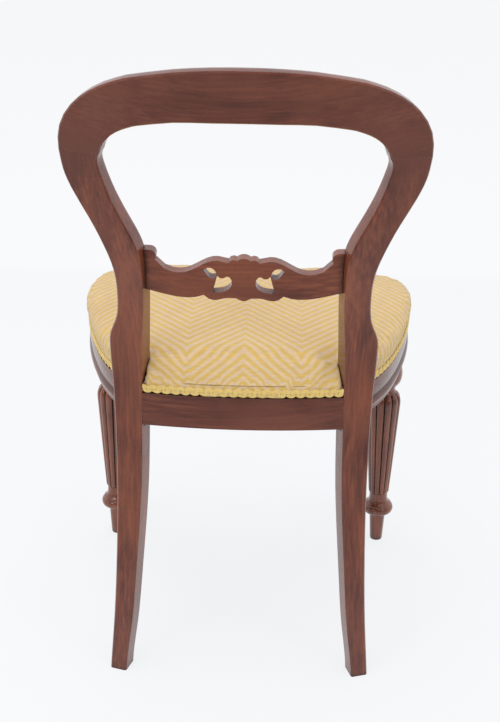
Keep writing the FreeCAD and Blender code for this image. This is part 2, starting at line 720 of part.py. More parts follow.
def build_front_leg(corner):
    """A turned and reeded front leg, with its block and the corner of the moulding."""
    turned = [
        turned_part("leg_foot", [
            (8, 0), (9.8, 2.6), (12.5, 46), (14.2, 50.5), (20.8, 54), (24.2, 58.4), (24.6, 61.6),
            (23.9, 65.6), (22.2, 67.8), (18.2, 71), (15.4, 75.5), (14.6, 80), (14.6, 86), (15.2, 88.5)]),
        turned_part("leg_cap", [
            (19.4, 267.5), (17.4, 271), (16.8, 276), (19.6, 279.5), (23.6, 286), (25.5, 294),
            (25.4, 301), (24.2, 309), (22.4, 317), (24.5, 319.5)]),
    ]
    reeds = int(value("reed_count"))
    sections = []
    for k, (height, radius) in enumerate(
            [(88, 14.8), (92, 16.4), (130, 19.3), (214, 24.7), (249, 27), (259, 26), (266, 22),
             (268, 19.2)]):
        groove = f"{radius} * (1 - reed_share)"
        step = "(180 / reed_count)"
        rise = f"({radius} - {groove} * cos{step})"
        chord = f"({groove} * sin{step})"
        bulge = f"({chord}^2 + {rise}^2) / (2 * {rise})"
        corners = [(f"{groove} * cos({2 * n + 1} * {step})", f"{groove} * sin({2 * n + 1} * {step})")
                   for n in range(reeds)]
        sections.append(outline(f"reed_section_{k}", corners, [("left", bulge, 3)] * reeds,
                                FreeCAD.Placement(Vector(0, 0, height), FreeCAD.Rotation())))
    shaft = lofted("leg_reeds", sections, ruled=True)
    plan = outline(
        "leg_block_plan",
        [("-block_half", "-block_half"), ("0", "-block_half"), ("block_half", "0"),
         ("block_half", "block_half"), ("-block_half", "block_half")],
        ["line", ("left", "block_half"), "line", "line", "line"],
        FreeCAD.Placement(Vector(0, 0, value("rail_bottom - leg_block_drop")), FreeCAD.Rotation()),
    )
    block = extruded("leg_block", plan, Vector(0, 0, 1), "leg_block_drop + show_top - rail_bottom")
    inset = "(corner_round - rebate_deep)"
    tongue_plan = outline(
        "leg_tongue_plan",
        [("-block_half", f"-{inset}"), ("0", f"-{inset}"), (inset, "0"), (inset, "block_half"),
         ("-block_half", "block_half")],
        ["line", ("left", inset), "line", "line", "line"],
        FreeCAD.Placement(Vector(0, 0, value("show_top")), FreeCAD.Rotation()),
    )
    tongue = extruded("leg_tongue", tongue_plan, Vector(0, 0, 1), "rail_top - show_top")
    stem = joined("leg_stem", turned + [shaft, block, tongue])
    for axis, text in (("x", "leg_x"), ("y", "-leg_y")):
        stem.setExpression("Placement.Base." + axis, tied(text))
    quirk = outline(
        "quirk_section",
        [("-2.6", "rail_bottom - 1"), ("6", "rail_bottom - 1"), ("6", "rail_bottom + 24"),
         ("-1.6", "rail_bottom + 23.4"), ("-4.6", "rail_bottom + 21.4"), ("-4.6", "rail_bottom + 18.6"),
         ("-2.6", "rail_bottom + 17")],
        ["line"] * 7,
        ring_section("quirk_reference", [("0", "rail_bottom"), ("1", "rail_bottom"), ("0", "rail_top")],
                     ["line", "line", "line"]).Placement,
    )
    trimmed = cut("leg_stem_trimmed", stem, [swept("quirk_sweep", quirk, rail_path("quirk_line", "rail_bottom",
                                                                                   RUN_OUT))])
    return joined("leg_left_whole", [trimmed, corner])


def seat_plan(name, height, scale):
    """The outline of the seat at one height, drawn in from the rails' faces by a share."""
    turn_x = "(leg_x + corner_round * sin(front_end_angle))"
    turn_y = "(-leg_y - corner_round * cos(front_end_angle))"
    rear_y = "(rear_rail_y + rear_rail_sag - rear_rail_bow + sqrt(rear_rail_bow^2 - 150^2))"
    half = [("150", rear_y), ("root_x", "root_y"), ("bend_x", "bend_y"), ("seat_half", "-leg_y"),
            (turn_x, turn_y)]
    corners = [(f"{scale} * ({x})", f"{scale} * ({y})") for x, y in half]
    corners += [(f"-{scale} * ({x})", f"{scale} * ({y})") for x, y in reversed(half)]
    run = ["line", ("right", f"{scale} * root_bow", 2), ("right", f"{scale} * side_bow", 4),
           ("right", f"{scale} * corner_round", 4)]
    sides = run + [("right", f"{scale} * front_bow", 4)] + list(reversed(run))
    sides.append(("right", f"{scale} * rear_rail_bow", 3))
    return outline(name, corners, sides, FreeCAD.Placement(Vector(0, 0, value(height)), FreeCAD.Rotation()))


# The side of the domed seat: height, and how far the outline swells or is drawn in there.
CROWN_ROWS = [
    ("show_top + 0.2", 0.9886), ("rail_top + 2.4", 0.9888), ("rail_top + 8", 1.004),
    ("rail_top + 13", 1.014), ("rail_top + 18", 1.0155), ("rail_top + 22.5", 1.005), ("rail_top + 26", 0.982),
    ("crown - 7", 0.948), ("crown + 1", 0.85),
]
# How far the dome falls from its crown, at shares of the seat's half width or half length.
DOME = [(0.16, 0.0), (0.42, 0.9), (0.64, 2.6), (0.84, 5.2), (1.08, 10.0)]


def domed(name, body, crown):
    """The part of a body that lies under a vault from side to side and one from front to back."""
    vaults = []
    half_long = "(leg_y + front_reach + rear_rail_y + rear_rail_sag) / 2"
    for way, half, middle in (("across", "seat_half", "0"), ("along", half_long, "-seat_middle")):
        right = [(f"{middle} + {share} * ({half})", f"{crown} - {drop}") for share, drop in DOME]
        left = [(f"{middle} - {share} * ({half})", f"{crown} - {drop}") for share, drop in reversed(DOME)]
        low = "rail_bottom"
        corners = right + [(right[-1][0], low), (left[0][0], low)] + left
        if way == "across":
            place = frame_at(Vector(0, 0, 0), Vector(1, 0, 0), Vector(0, 0, 1))
        else:
            place = frame_at(Vector(0, 0, 0), Vector(0, 1, 0), Vector(0, 0, 1))
        sketch = outline(f"{name}_{way}_view", corners, ["line"] * len(corners), place)
        direction = Vector(0, 1, 0) if way == "across" else Vector(1, 0, 0)
        vaults.append(extruded(f"{name}_{way}_vault", sketch, direction, "4 * seat_half", both_ways=True))
    return shared(name, shared(name + "_sides", body, vaults[0]), vaults[1])


def crown_outside():
    """The outside of the seat, from the rebate up to its crown."""
    sections = [seat_plan(f"cover_outside_{k}", height, f"{scale}")
                for k, (height, scale) in enumerate(CROWN_ROWS)]
    return domed("cover_outside", lofted("cover_outside_side", sections, ruled=True), "crown")


def crown_inside():
    """The space that the stuffing fills under the cover and its wadding."""
    plan = seat_plan("cover_inside_plan", "show_top", "(0.9886 - cloth_thick / seat_half)")
    body = extruded("cover_inside_body", plan, Vector(0, 0, 1), "crown - show_top")
    return domed("cover_inside", body, "crown - 2 * cloth_thick")


def strip(name, start, end, crossings, over_first, place):
    """One length of webbing, woven over and under those that cross it."""
    ramp = 9
    path = [(start, 0)]
    for k, centre in enumerate(crossings):
        if (k % 2 == 0) == over_first:
            half = "web_wide / 2 + 1"
            path += [(f"{centre} - ({half} + {ramp})", 0), (f"{centre} - ({half})", 1),
                     (f"{centre} + ({half})", 1), (f"{centre} + ({half} + {ramp})", 0)]
    path.append((end, 0))
    corners = [(u, f"{level} * web_thick") for u, level in path]
    corners += [(u, f"{level + 1} * web_thick") for u, level in reversed(path)]
    sketch = outline(name + "_edge", corners, ["line"] * len(corners), place)
    solid = doc.addObject("Part::Extrusion", name)
    solid.Base = sketch
    solid.DirMode = "Normal"
    solid.setExpression("LengthFwd", tied("web_wide"))
    solid.Symmetric = True
    solid.Solid = True
    return solid


def grouped(name, members):
    """Separate solids kept as one node."""
    solid = doc.addObject("Part::Compound", name)
    solid.Links = members
    return solid


WEB_PITCH = 64


def build_webbing():
    """Four lengths from front to back, woven with four from side to side."""
    columns = [-1.5, -0.5, 0.5, 1.5]
    rows = [-165, -95, -25, 45]
    lengthwise, crosswise = [], []
    level = value("web_base")
    for k, column in enumerate(columns):
        x = column * WEB_PITCH
        place = frame_at(Vector(x, 0, level), Vector(0, 1, 0), Vector(0, 0, 1))
        lengthwise.append(strip(f"web_long_{k}", "-leg_y - front_reach", "rear_rail_y + rear_rail_sag",
                                rows, k % 2 == 0, place))
    for k, y in enumerate(rows):
        place = frame_at(Vector(0, y, level), Vector(1, 0, 0), Vector(0, 0, 1))
        crosswise.append(strip(f"web_cross_{k}", "-seat_half", "seat_half", [c * WEB_PITCH for c in columns],
                               k % 2 == 1, place))
    plan = seat_plan("web_edge_plan", "web_base", "0.952")
    edge = extruded("web_edge", plan, Vector(0, 0, 1), "2 * web_thick")
    return [shared(f"webbing_{name}", grouped(f"webbing_{name}_set", group), edge)
            for name, group in (("long", lengthwise), ("cross", crosswise))]


def build_upholstery():
    """Hessian, stuffing, cover, gimp and dust cover."""
    notch = behind_posts("notch_left", "1.5", "seat_face / cos(cant) + 1.5")
    notches = [notch, mirrored("notch_right", notch)]
    outer = crown_outside()
    inner = crown_inside()
    cover = cut("cover_shell", outer, [inner] + notches)
    above = box("above_hessian", ("-400", "-400", "pad_base"), ("400", "400", "crown + 50"))
    stuffing = cut("stuffing_body", shared("stuffing_dome", inner, above), notches)
    cloth = extruded("hessian_sheet", seat_plan("hessian_plan", "hessian_base", "0.965"), Vector(0, 0, 1),
                     "hessian_thick")
    hessian = cut("hessian_fitted", cloth, notches)
    cloth = extruded("dust_sheet", seat_plan("dust_plan", "rail_bottom - hessian_thick", "0.955"),
                     Vector(0, 0, 1), "hessian_thick")
    low, high = "rail_bottom - 30", "rail_bottom + 30"
    leg_notch = box("leg_notch_left", ("leg_x - block_half - 1", "-400", low),
                    ("400", "-leg_y + block_half + 1", high))
    dust = cut("dust_fitted", cloth, notches + [leg_notch, mirrored("leg_notch_right", leg_notch)])
    low = "show_top + 0.3"
    high = "show_top + 0.3 + gimp_tall"
    band = ring_section("gimp_section", [("-0.2 - gimp_thick", low), ("-0.2", low), ("-0.2", high),
                                         ("-0.2 - gimp_thick", high)], ["line"] * 4)
    trim = swept("gimp_run", band, rail_path("gimp_line", "show_top", RUN_OUT))
    gap = "0.5"
    clear = behind_posts("gimp_notch_left", gap, "160")
    gimp_front = cut("gimp_front_fitted", trim, [clear, mirrored("gimp_notch_right", clear)])
    bow = "rear_rail_bow"
    half = "(seat_outer - seat_face - 1)"
    rim = f"rear_rail_y + rear_rail_sag + 0.6 - ({bow} - sqrt({bow}^2 - {half}^2))"
    plan = outline(
        "gimp_rear_plan",
        [(half, rim), (f"-{half}", rim), (f"-{half}", f"{rim} - gimp_thick"), (half, f"{rim} - gimp_thick")],
        [("left", bow), "line", ("right", bow), "line"],
        FreeCAD.Placement(Vector(0, 0, value(low)), FreeCAD.Rotation()),
    )
    gimp_rear = extruded("gimp_rear_band", plan, Vector(0, 0, 1), "gimp_tall")
    return {"seat_cover": cover, "seat_stuffing": stuffing, "hessian": hessian, "dust_cover": dust,
            "gimp_front": gimp_front, "gimp_rear": gimp_rear}


def pair_of_rods(name, middle, direction, spread, count=2):
    """Dowels side by side across a joint, and the holes they fill."""
    along = Vector(direction).normalize()
    pins, holes = [], []
    for k in range(count):
        centre = middle + spread * (k - (count - 1) / 2)
        for group, kind, radius, length in ((pins, "pin", "dowel / 2", "dowel_long"),
                                            (holes, "hole", "dowel / 2 + fit_gap", "dowel_long + 2")):
            start = centre - along * (value(length) / 2)
            group.append(rod(f"{name}_{kind}_{k}", radius, length, start, along))
    return pins, holes


def build_dowels():
    """The dowels of the left half of the frame and their holes, joint by joint."""
    up = Vector(0, 0, 1)
    joints = {}
    outer, outer_normal = rear_face(value("joint_outer"), value("joint_height"))
    inner, inner_normal = rear_face(value("joint_outer - joint_face"), value("joint_height"))
    across = (outer - inner).normalize()
    inward = -(outer_normal + inner_normal).normalize()
    middle = (outer + inner) / 2 + inward * (value("joint_depth") / 2)
    joints["crest"] = pair_of_rods("crest_dowel", middle, across.cross(inward), across * 21)
    turn = math.radians(value("root_angle"))
    back = Vector(-math.sin(turn), math.cos(turn), 0)
    outward = Vector(math.cos(turn), math.sin(turn), 0)
    start = Vector(value("root_x"), value("root_y"), 0) - outward * value("rail_thick / 2")
    post_outer, _ = rear_face(value("seat_outer"), value("seat_line"))
    cant = math.radians(value("cant"))
    normal = Vector(math.sin(cant), math.cos(cant), 0)
    plane = post_outer - normal * value("seat_depth")
    reach = (plane - start).dot(normal) / back.dot(normal)
    middle = start + back * reach
    middle.z = value("rail_bottom + 23")
    joints["side_rear"] = pair_of_rods("side_rear_dowel", middle, back, up * 26)
    middle = Vector(value("seat_outer - seat_face"), value("rear_rail_y - 12"), value("rail_bottom + 36"))
    joints["rear"] = pair_of_rods("rear_dowel", middle, Vector(1, 0, 0), up * 26)
    side_x = "seat_half - side_bow + sqrt(side_bow^2 - block_half^2) - rail_thick / 2"
    middle = Vector(value(side_x), value("-leg_y + block_half"), value("rail_bottom + 26"))
    joints["side_front"] = pair_of_rods("side_front_dowel", middle, Vector(0, 1, 0), up * 24)
    end_x = "(leg_x - block_half)"
    front_y = f"-leg_y - front_reach + front_bow - sqrt(front_bow^2 - {end_x}^2) + rail_thick / 2"
    middle = Vector(value(end_x), value(front_y), value("rail_bottom + 26"))
    joints["front"] = pair_of_rods("front_dowel", middle, Vector(1, 0, 0), up * 24)
    return joints


def build_corner_blocks(rails, post):
    """The glued blocks of the left half, cut to the rails, and where their screws go."""
    reach = "75"
    side_x = f"seat_half - side_bow + sqrt(side_bow^2 - ({reach})^2) - rail_thick / 2"
    front_x = f"(leg_x - {reach})"
    front_y = f"-leg_y - front_reach + front_bow - sqrt(front_bow^2 - {front_x}^2) + rail_thick / 2"
    low = value("rail_bottom + 10")
    plan = outline(
        "front_block_plan",
        [(side_x, f"-leg_y + {reach}"), (front_x, front_y), ("seat_half - 14", "-leg_y - 14")],
        ["line", "line", "line"], FreeCAD.Placement(Vector(0, 0, low), FreeCAD.Rotation()),
    )
    front = extruded("front_block_blank", plan, Vector(0, 0, 1), "block_tall")
    leg_room = box("leg_room", ("leg_x - block_half", "-400", "rail_bottom - 60"),
                   ("400", "-leg_y + block_half", "rail_top + 60"))
    front = cut("front_block_fitted", front, [rails["side_left"], rails["front"], leg_room])
    plan = outline(
        "rear_block_plan",
        [("66", "rear_rail_front + 8"), ("150", "root_y + 4"), ("bend_x - 19", "bend_y + 22")],
        ["line", "line", "line"], FreeCAD.Placement(Vector(0, 0, low), FreeCAD.Rotation()),
    )
    rear = extruded("rear_block_blank", plan, Vector(0, 0, 1), "block_tall")
    rear = cut("rear_block_fitted", rear, [rails["rear"], rails["side_left"], post])
    return front, rear


def check_and_export():
    """Stops if a piece is broken, then writes each one's STEP file."""
    doc.recompute()
    for thing in doc.Objects:
        if "Invalid" in thing.State or "Error" in thing.State:
            raise RuntimeError(f"{thing.Name} failed: {thing.State}")
    os.makedirs("parts", exist_ok=True)
    for label, piece in sorted(PIECES.items()):
        shape = piece.Shape
        if shape.isNull() or not shape.isValid():
            raise RuntimeError(f"{label} has no valid shape")
        shape.exportStep(os.path.join("parts", label + ".step"))
        print(f"{label}: {len(shape.Solids)} solids, {shape.Volume / 1000:.1f} cm3")


def both(name, piece):
    """A piece of the left half and its mirror image, as one node."""
    return grouped(name, [piece, mirrored(name + "_other", piece)])


def build_frame():
    """The show-wood frame with its joints cut."""
    posts = build_rear_posts()
    splat, mortises = build_splat(posts)
    rails, corner = build_rails(posts)
    leg = build_front_leg(corner)
    joints = build_dowels()
    front_block, rear_block = build_corner_blocks(rails, posts[0])
    holes = {key: group[1] for key, group in joints.items()}
    post = cut("post_jointed", posts[0], holes["crest"] + holes["side_rear"] + holes["rear"] + [mortises[0]])
    named(post, "rear_post_left")
    named(mirrored("post_jointed_right", post), "rear_post_right")
    crest_holes = holes["crest"] + [mirrored("crest_holes_right", grouped("crest_holes_left", holes["crest"]))]
    named(cut("crest_jointed", build_crest(), crest_holes), "crest_rail")
    named(splat, "splat")
    side = cut("side_jointed", rails["side_left"], holes["side_rear"] + holes["side_front"])
    named(side, "side_seat_rail_left")
    named(mirrored("side_jointed_right", side), "side_seat_rail_right")
    for name, key, label in (("front", "front", "front_seat_rail"), ("rear", "rear", "rear_seat_rail")):
        drilled = list(holes[key])
        drilled.append(mirrored(f"{name}_holes_right", grouped(f"{name}_holes_left", holes[key])))
        named(cut(f"{name}_jointed", rails[name], drilled), label)
    leg = cut("leg_jointed", leg, holes["side_front"] + holes["front"])
    named(leg, "front_leg_left")
    named(mirrored("leg_jointed_right", leg), "front_leg_right")
    for name, block in (("front", front_block), ("rear", rear_block)):
        named(block, f"corner_block_{name}_left")
        named(mirrored(f"{name}_block_right", block), f"corner_block_{name}_right")
    pins = {key: grouped(key + "_pins", group[0]) for key, group in joints.items()}
    named(both("crest_dowel_set", pins["crest"]), "crest_dowels")
    named(both("rear_dowel_set", pins["rear"]), "rear_rail_dowels")
    named(both("front_dowel_set", pins["front"]), "front_rail_dowels")
    sides = grouped("side_pins", [pins["side_rear"], pins["side_front"]])
    named(both("side_dowel_set", sides), "side_rail_dowels")


def main():
    fill_sheet()
    build_frame()
    lengthwise, crosswise = build_webbing()
    named(lengthwise, "webbing_lengthwise")
    named(crosswise, "webbing_crosswise")
    for label, piece in build_upholstery().items():
        named(piece, label)
    check_and_export()


main()
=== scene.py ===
"""The looks of a balloon back dining chair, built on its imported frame.

Everything is in metres. The sitter faces -Y, +X is the sitter's left hand and the floor is z = 0.
"""

import json
import logging
import math
from dataclasses import dataclass, replace
from enum import Enum
from typing import Callable, Sequence

import bmesh
import bpy
from mathutils import Matrix, Vector

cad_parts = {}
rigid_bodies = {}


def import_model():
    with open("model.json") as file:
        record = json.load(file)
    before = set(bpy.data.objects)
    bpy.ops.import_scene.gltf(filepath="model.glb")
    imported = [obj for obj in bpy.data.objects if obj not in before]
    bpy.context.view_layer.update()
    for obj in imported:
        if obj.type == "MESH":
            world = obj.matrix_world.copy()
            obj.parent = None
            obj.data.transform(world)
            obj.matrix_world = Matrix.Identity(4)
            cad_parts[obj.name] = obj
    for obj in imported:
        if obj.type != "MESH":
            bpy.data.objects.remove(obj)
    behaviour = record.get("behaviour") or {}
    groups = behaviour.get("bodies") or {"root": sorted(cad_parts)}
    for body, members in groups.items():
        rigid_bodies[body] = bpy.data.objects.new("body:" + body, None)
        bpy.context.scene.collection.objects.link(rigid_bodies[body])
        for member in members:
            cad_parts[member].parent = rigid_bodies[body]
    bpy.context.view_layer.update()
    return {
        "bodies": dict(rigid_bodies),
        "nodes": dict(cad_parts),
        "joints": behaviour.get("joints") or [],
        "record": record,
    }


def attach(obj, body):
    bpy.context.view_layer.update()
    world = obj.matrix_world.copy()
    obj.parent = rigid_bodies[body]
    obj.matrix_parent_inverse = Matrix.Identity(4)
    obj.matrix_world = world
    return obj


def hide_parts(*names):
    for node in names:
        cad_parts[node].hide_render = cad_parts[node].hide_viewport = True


LOG = logging.getLogger("chair")
BODY = "root"
MM = 0.001
SHOW_TOP = 0.4195
RAIL_TOP = 0.431
RAIL_BOTTOM = 0.373
CREST_JOINT = 0.758
SEAT_MIDDLE = -0.046

Point = tuple[float, float, float]
Colour = tuple[float, float, float, float]


class Bench:
    """The workbench: the modelling tools, used on one piece at a time."""

    @staticmethod
    def clear() -> None:
        """Leaves edit mode and lets go of every object."""
        if bpy.context.mode != "OBJECT":
            bpy.ops.object.mode_set(mode="OBJECT")
        bpy.ops.object.select_all(action="DESELECT")

    @staticmethod
    def pick(*pieces: bpy.types.Object) -> None:
        """Selects the given pieces, the first one active.

        Args:
            pieces: The pieces to work on.
        """
        Bench.clear()
        for piece in pieces:
            piece.select_set(True)
        bpy.context.view_layer.objects.active = pieces[0]

    @staticmethod
    def settle(piece: bpy.types.Object) -> None:
        """Applies every modifier of a piece.

        Args:
            piece: The piece.
        """
        Bench.pick(piece)
        for modifier in list(piece.modifiers):
            bpy.ops.object.modifier_apply(modifier=modifier.name)

    @staticmethod
    def smooth(piece: bpy.types.Object, angle: float = 35.0) -> None:
        """Shades a piece smooth, with creases where faces meet at more than an angle in degrees."""
        Bench.pick(piece)
        bpy.ops.object.shade_smooth_by_angle(angle=math.radians(angle))

    @staticmethod
    def tidy(piece: bpy.types.Object, outward: bool = True) -> None:
        """Merges a piece's doubled points and turns its faces outward.

        Args:
            piece: The piece.
            outward: Whether its faces are turned.
        """
        Bench.pick(piece)
        bpy.ops.object.mode_set(mode="EDIT")
        bpy.ops.mesh.select_all(action="SELECT")
        bpy.ops.mesh.remove_doubles(threshold=1e-6)
        if outward:
            bpy.ops.mesh.normals_make_consistent(inside=False)
        bpy.ops.object.mode_set(mode="OBJECT")

    @staticmethod
    def copied(node: bpy.types.Object, name: str) -> bpy.types.Object:
        """A free copy of a frame node with its own merged mesh.

        Args:
            node: The frame node.
            name: The copy's name.

        Returns:
            The copy.
        """
        piece = bpy.data.objects.new(name, node.data.copy())
        piece.data.name = name
        bpy.context.scene.collection.objects.link(piece)
        Bench.tidy(piece, outward=False)
        return piece

    @staticmethod
    def joined(name: str, pieces: Sequence[bpy.types.Object]) -> bpy.types.Object:
        """Joins pieces into the first of them and names it.

        Args:
            name: The whole's name.
            pieces: What it is joined from.

        Returns:
            The whole.
        """
        Bench.pick(*pieces)
        bpy.ops.object.join()
        whole = bpy.context.object
        whole.name = whole.data.name = name
        return whole

    @staticmethod
    def drawn(name: str, rings: Sequence[Sequence[Point]],
              ends: tuple[bool, bool] = (True, True)) -> bpy.types.Object:
        """Draws one ring of points up through a run of rings.

        Args:
            name: The new piece's name.
            rings: Rings with the same number of points, in order along the piece.
            ends: Whether the first and the last ring are closed with a face.

        Returns:
            The closed piece, its faces outward.
        """
        Bench.clear()
        bpy.ops.mesh.primitive_circle_add(vertices=len(rings[0]), radius=1.0)
        piece = bpy.context.object
        piece.name = piece.data.name = name
        bpy.ops.object.mode_set(mode="EDIT")
        bpy.context.tool_settings.mesh_select_mode = (True, False, False)
        bpy.ops.mesh.select_all(action="SELECT")
        for k, ring in enumerate(rings):
            if k:
                bpy.ops.mesh.extrude_region_move()
            shape = bmesh.from_edit_mesh(piece.data)
            for vertex, spot in zip([v for v in shape.verts if v.select], ring):
                vertex.co = spot
            bmesh.update_edit_mesh(piece.data)
            if k == 0 and ends[0]:
                bpy.ops.mesh.edge_face_add()
                Bench.edges_only(piece)
        if ends[1]:
            bpy.ops.mesh.edge_face_add()
        bpy.ops.object.mode_set(mode="OBJECT")
        Bench.tidy(piece)
        return piece

    @staticmethod
    def edges_only(piece: bpy.types.Object) -> None:
        """Lets go of the faces in edit mode and keeps their rim, so that the next ring grows from it.

        Args:
            piece: The piece being drawn.
        """
        shape = bmesh.from_edit_mesh(piece.data)
        bpy.context.tool_settings.mesh_select_mode = (False, True, False)
        for face in shape.faces:
            face.select = False
        for edge in shape.edges:
            edge.select = True
        bmesh.update_edit_mesh(piece.data)
        bpy.context.tool_settings.mesh_select_mode = (True, False, False)

    @staticmethod
    def turned(name: str, profile: Sequence[tuple[float, float]], axis: Point,
               steps: int = 64) -> bpy.types.Object:
        """Spins a profile about an upright axis, as on a lathe.

        Args:
            name: The new piece's name.
            profile: Radii and heights, from the bottom up.
            axis: A point on the axis.
            steps: How many faces go round.

        Returns:
            The turned piece.
        """
        Bench.clear()
        bpy.ops.mesh.primitive_plane_add(size=0.001)
        piece = bpy.context.object
        piece.name = piece.data.name = name
        bpy.ops.object.mode_set(mode="EDIT")
        bpy.context.tool_settings.mesh_select_mode = (True, False, False)
        bpy.ops.mesh.select_all(action="SELECT")
        bpy.ops.mesh.merge(type="CENTER")
        for k, (radius, height) in enumerate(profile):
            if k:
                bpy.ops.mesh.extrude_region_move()
            shape = bmesh.from_edit_mesh(piece.data)
            for vertex in (v for v in shape.verts if v.select):
                vertex.co = (axis[0] + radius, axis[1], height)
            bmesh.update_edit_mesh(piece.data)
        bpy.ops.mesh.select_all(action="SELECT")
        bpy.ops.mesh.spin(steps=steps, angle=math.tau, center=axis, axis=(0, 0, 1))
        bpy.ops.object.mode_set(mode="OBJECT")
        Bench.tidy(piece)
        return piece

    @staticmethod
    def threads(name: str, lines: Sequence[Sequence[Point]], radius: float,
                sides: int = 1) -> bpy.types.Object:
        """Round threads along lines of points, as one mesh.

        Args:
            name: The new piece's name.
            lines: One run of points for each thread.
            radius: The threads' radius.
            sides: Extra points in the round section.

        Returns:
            The threads as a mesh.
        """
        Bench.clear()
        curve = bpy.data.curves.new(name, "CURVE")
        curve.dimensions = "3D"
        for line in lines:
            spline = curve.splines.new("POLY")
            spline.points.add(len(line) - 1)
            for point, spot in zip(spline.points, line):
                point.co = (*spot, 1.0)
        curve.bevel_depth = radius
        curve.bevel_resolution = sides
        curve.use_fill_caps = True
        piece = bpy.data.objects.new(name, curve)
        bpy.context.scene.collection.objects.link(piece)
        Bench.pick(piece)
        bpy.ops.object.convert(target="MESH")
        piece = bpy.context.object
        piece.name = piece.data.name = name
        return piece

    @staticmethod
    def dressed(piece: bpy.types.Object, material: bpy.types.Material) -> None:
        """Gives a piece one material all over."""
        piece.data.materials.clear()
        piece.data.materials.append(material)


def ramp(value: float, start: float, run: float, most: float = 1.0) -> float:
    """How far a value has come along a run, from 0 up to the most."""
    return min(max((value - start) / run, 0.0), most)


def smooth_run(points: Sequence[tuple[float, ...]], steps: int) -> list[tuple[float, ...]]:
    """A smooth line through points, with a number of steps between each two.

    Args:
        points: The points in order, each with any number of values.
        steps: How many steps lie between two points.

    Returns:
        The line, from the first point to the last.
    """
    run: list[tuple[float, ...]] = []
    last = len(points) - 1
    for k in range(last):
        before, start, end, after = (points[min(max(i, 0), last)] for i in (k - 1, k, k + 1, k + 2))
        for n in range(steps):
            t = n / steps
            run.append(tuple(
                b + 0.5 * t * (c - a + t * (2 * a - 5 * b + 4 * c - d + t * (3 * (b - c) + d - a)))
                for a, b, c, d in zip(before, start, end, after)))
    run.append(tuple(points[-1]))
    return run


@dataclass
class SeatPlan:
    """The outline of the seat seen from above."""

    leg_x: float = 0.2155
    leg_y: float = 0.2015
    corner: float = 0.028
    side_centre: tuple[float, float] = (-0.45325, -0.2015)
    side_radius: float = 0.69675
    bend_turn: float = 18.877
    root_radius: float = 0.3103
    root_turn: float = 35.66
    front_centre: float = 1.339
    front_radius: float = 1.5835
    front_turn: float = 7.965
    rear_centre: float = -0.7504
    rear_radius: float = 0.9028
    post_inner: tuple[float, float] = (0.1244, 0.1147)
    post_turn: float = 18.0
    post_gap: float = 0.0017
    post_wide: float = 0.0445
    post_deep: float = 0.0322

    def post_corner(self) -> tuple[Vector, Vector, Vector]:
        """The left post's inner front corner, the way along its front face, and the way back from it.

        Returns:
            The corner and the two directions.
        """
        cant = math.radians(self.post_turn)
        along = Vector((math.cos(cant), -math.sin(cant), 0))
        normal = Vector((math.sin(cant), math.cos(cant), 0))
        return Vector((*self.post_inner, 0)), along, normal

    def left_half(self, step: float) -> list[tuple[Vector, Vector]]:
        """The rail's outer line from the left post to the middle of the front.

        Args:
            step: The greatest distance between two points.

        Returns:
            Points, each with the outward direction there.
        """
        bend = math.radians(self.bend_turn)
        turn = Vector((math.cos(bend), math.sin(bend), 0))
        side = Vector((*self.side_centre, 0))
        root = side + turn * (self.side_radius - self.root_radius)
        arcs = (
            (root, self.root_radius, self.root_turn, self.bend_turn),
            (side, self.side_radius, self.bend_turn, 0.0),
            (Vector((self.leg_x, -self.leg_y, 0)), self.corner, 0.0, self.front_turn - 90),
            (Vector((0, self.front_centre, 0)), self.front_radius, self.front_turn - 90, -90.0),
        )
        line: list[tuple[Vector, Vector]] = []
        for centre, radius, start, end in arcs:
            count = max(2, math.ceil(radius * math.radians(abs(end - start)) / step))
            for k in range(count):
                angle = math.radians(start + (end - start) * k / count)
                out = Vector((math.cos(angle), math.sin(angle), 0))
                line.append((centre + out * radius, out))
        line.append((Vector((0, self.front_centre - self.front_radius, 0)), Vector((0, -1, 0))))
        return line

    def round_front(self, step: float) -> list[tuple[Vector, Vector]]:
        """The rail's outer line from the left post round the front to the right post.

        Args:
            step: The greatest distance between two points.

        Returns:
            Points, each with the outward direction there.
        """
        left = self.left_half(step)
        right = [(Vector((-p.x, p.y, 0)), Vector((-n.x, n.y, 0))) for p, n in reversed(left[:-1])]
        return left + right

    def rear(self, half: float, step: float) -> list[tuple[Vector, Vector]]:
        """The rear rail's outer line from the right post to the left post.

        Args:
            half: Half of the line's width.
            step: The greatest distance between two points.

        Returns:
            Points, each with the outward direction there.
        """
        most = math.asin(half / self.rear_radius)
        count = max(2, math.ceil(2 * half / step))
        line = []
        for k in range(count + 1):
            angle = -most + 2 * most * k / count
            out = Vector((math.sin(angle), math.cos(angle), 0))
            line.append((Vector((0, self.rear_centre, 0)) + out * self.rear_radius, out))
        return line

    def notch(self) -> list[Vector]:
        """The corners of the cloth where it is cut round the left post, from the rear rail forward.

        Returns:
            Points round the post's two inner faces.
        """
        corner, along, normal = self.post_corner()
        inner = corner - (normal + along) * self.post_gap
        back = inner + normal * self.post_deep
        front = inner + along * self.post_wide
        runs = []
        for start, end in ((back, inner), (inner, front)):
            count = max(2, round((end - start).length / 0.005))
            runs += [start.lerp(end, k / count) for k in range(count)]
        return runs + [front]

    def whole(self, step: float, share: float = 1.0) -> list[Vector]:
        """The closed outline of the cloth, notched round both posts.

        Args:
            step: The greatest distance between two points.
            share: How far the outline is drawn in towards the origin.

        Returns:
            Points, anticlockwise seen from below.
        """
        notch = self.notch()
        room = 0.002
        front = [p * share for p, _ in self.round_front(step)]
        front = [p for p in front if abs(p.x) > notch[-1].x or p.y < notch[-1].y - room]
        rear = [p * share for p, _ in self.rear(notch[0].x / share - room, step)]
        right = [Vector((-p.x, p.y, 0)) for p in reversed(notch)]
        return front + right + rear + notch


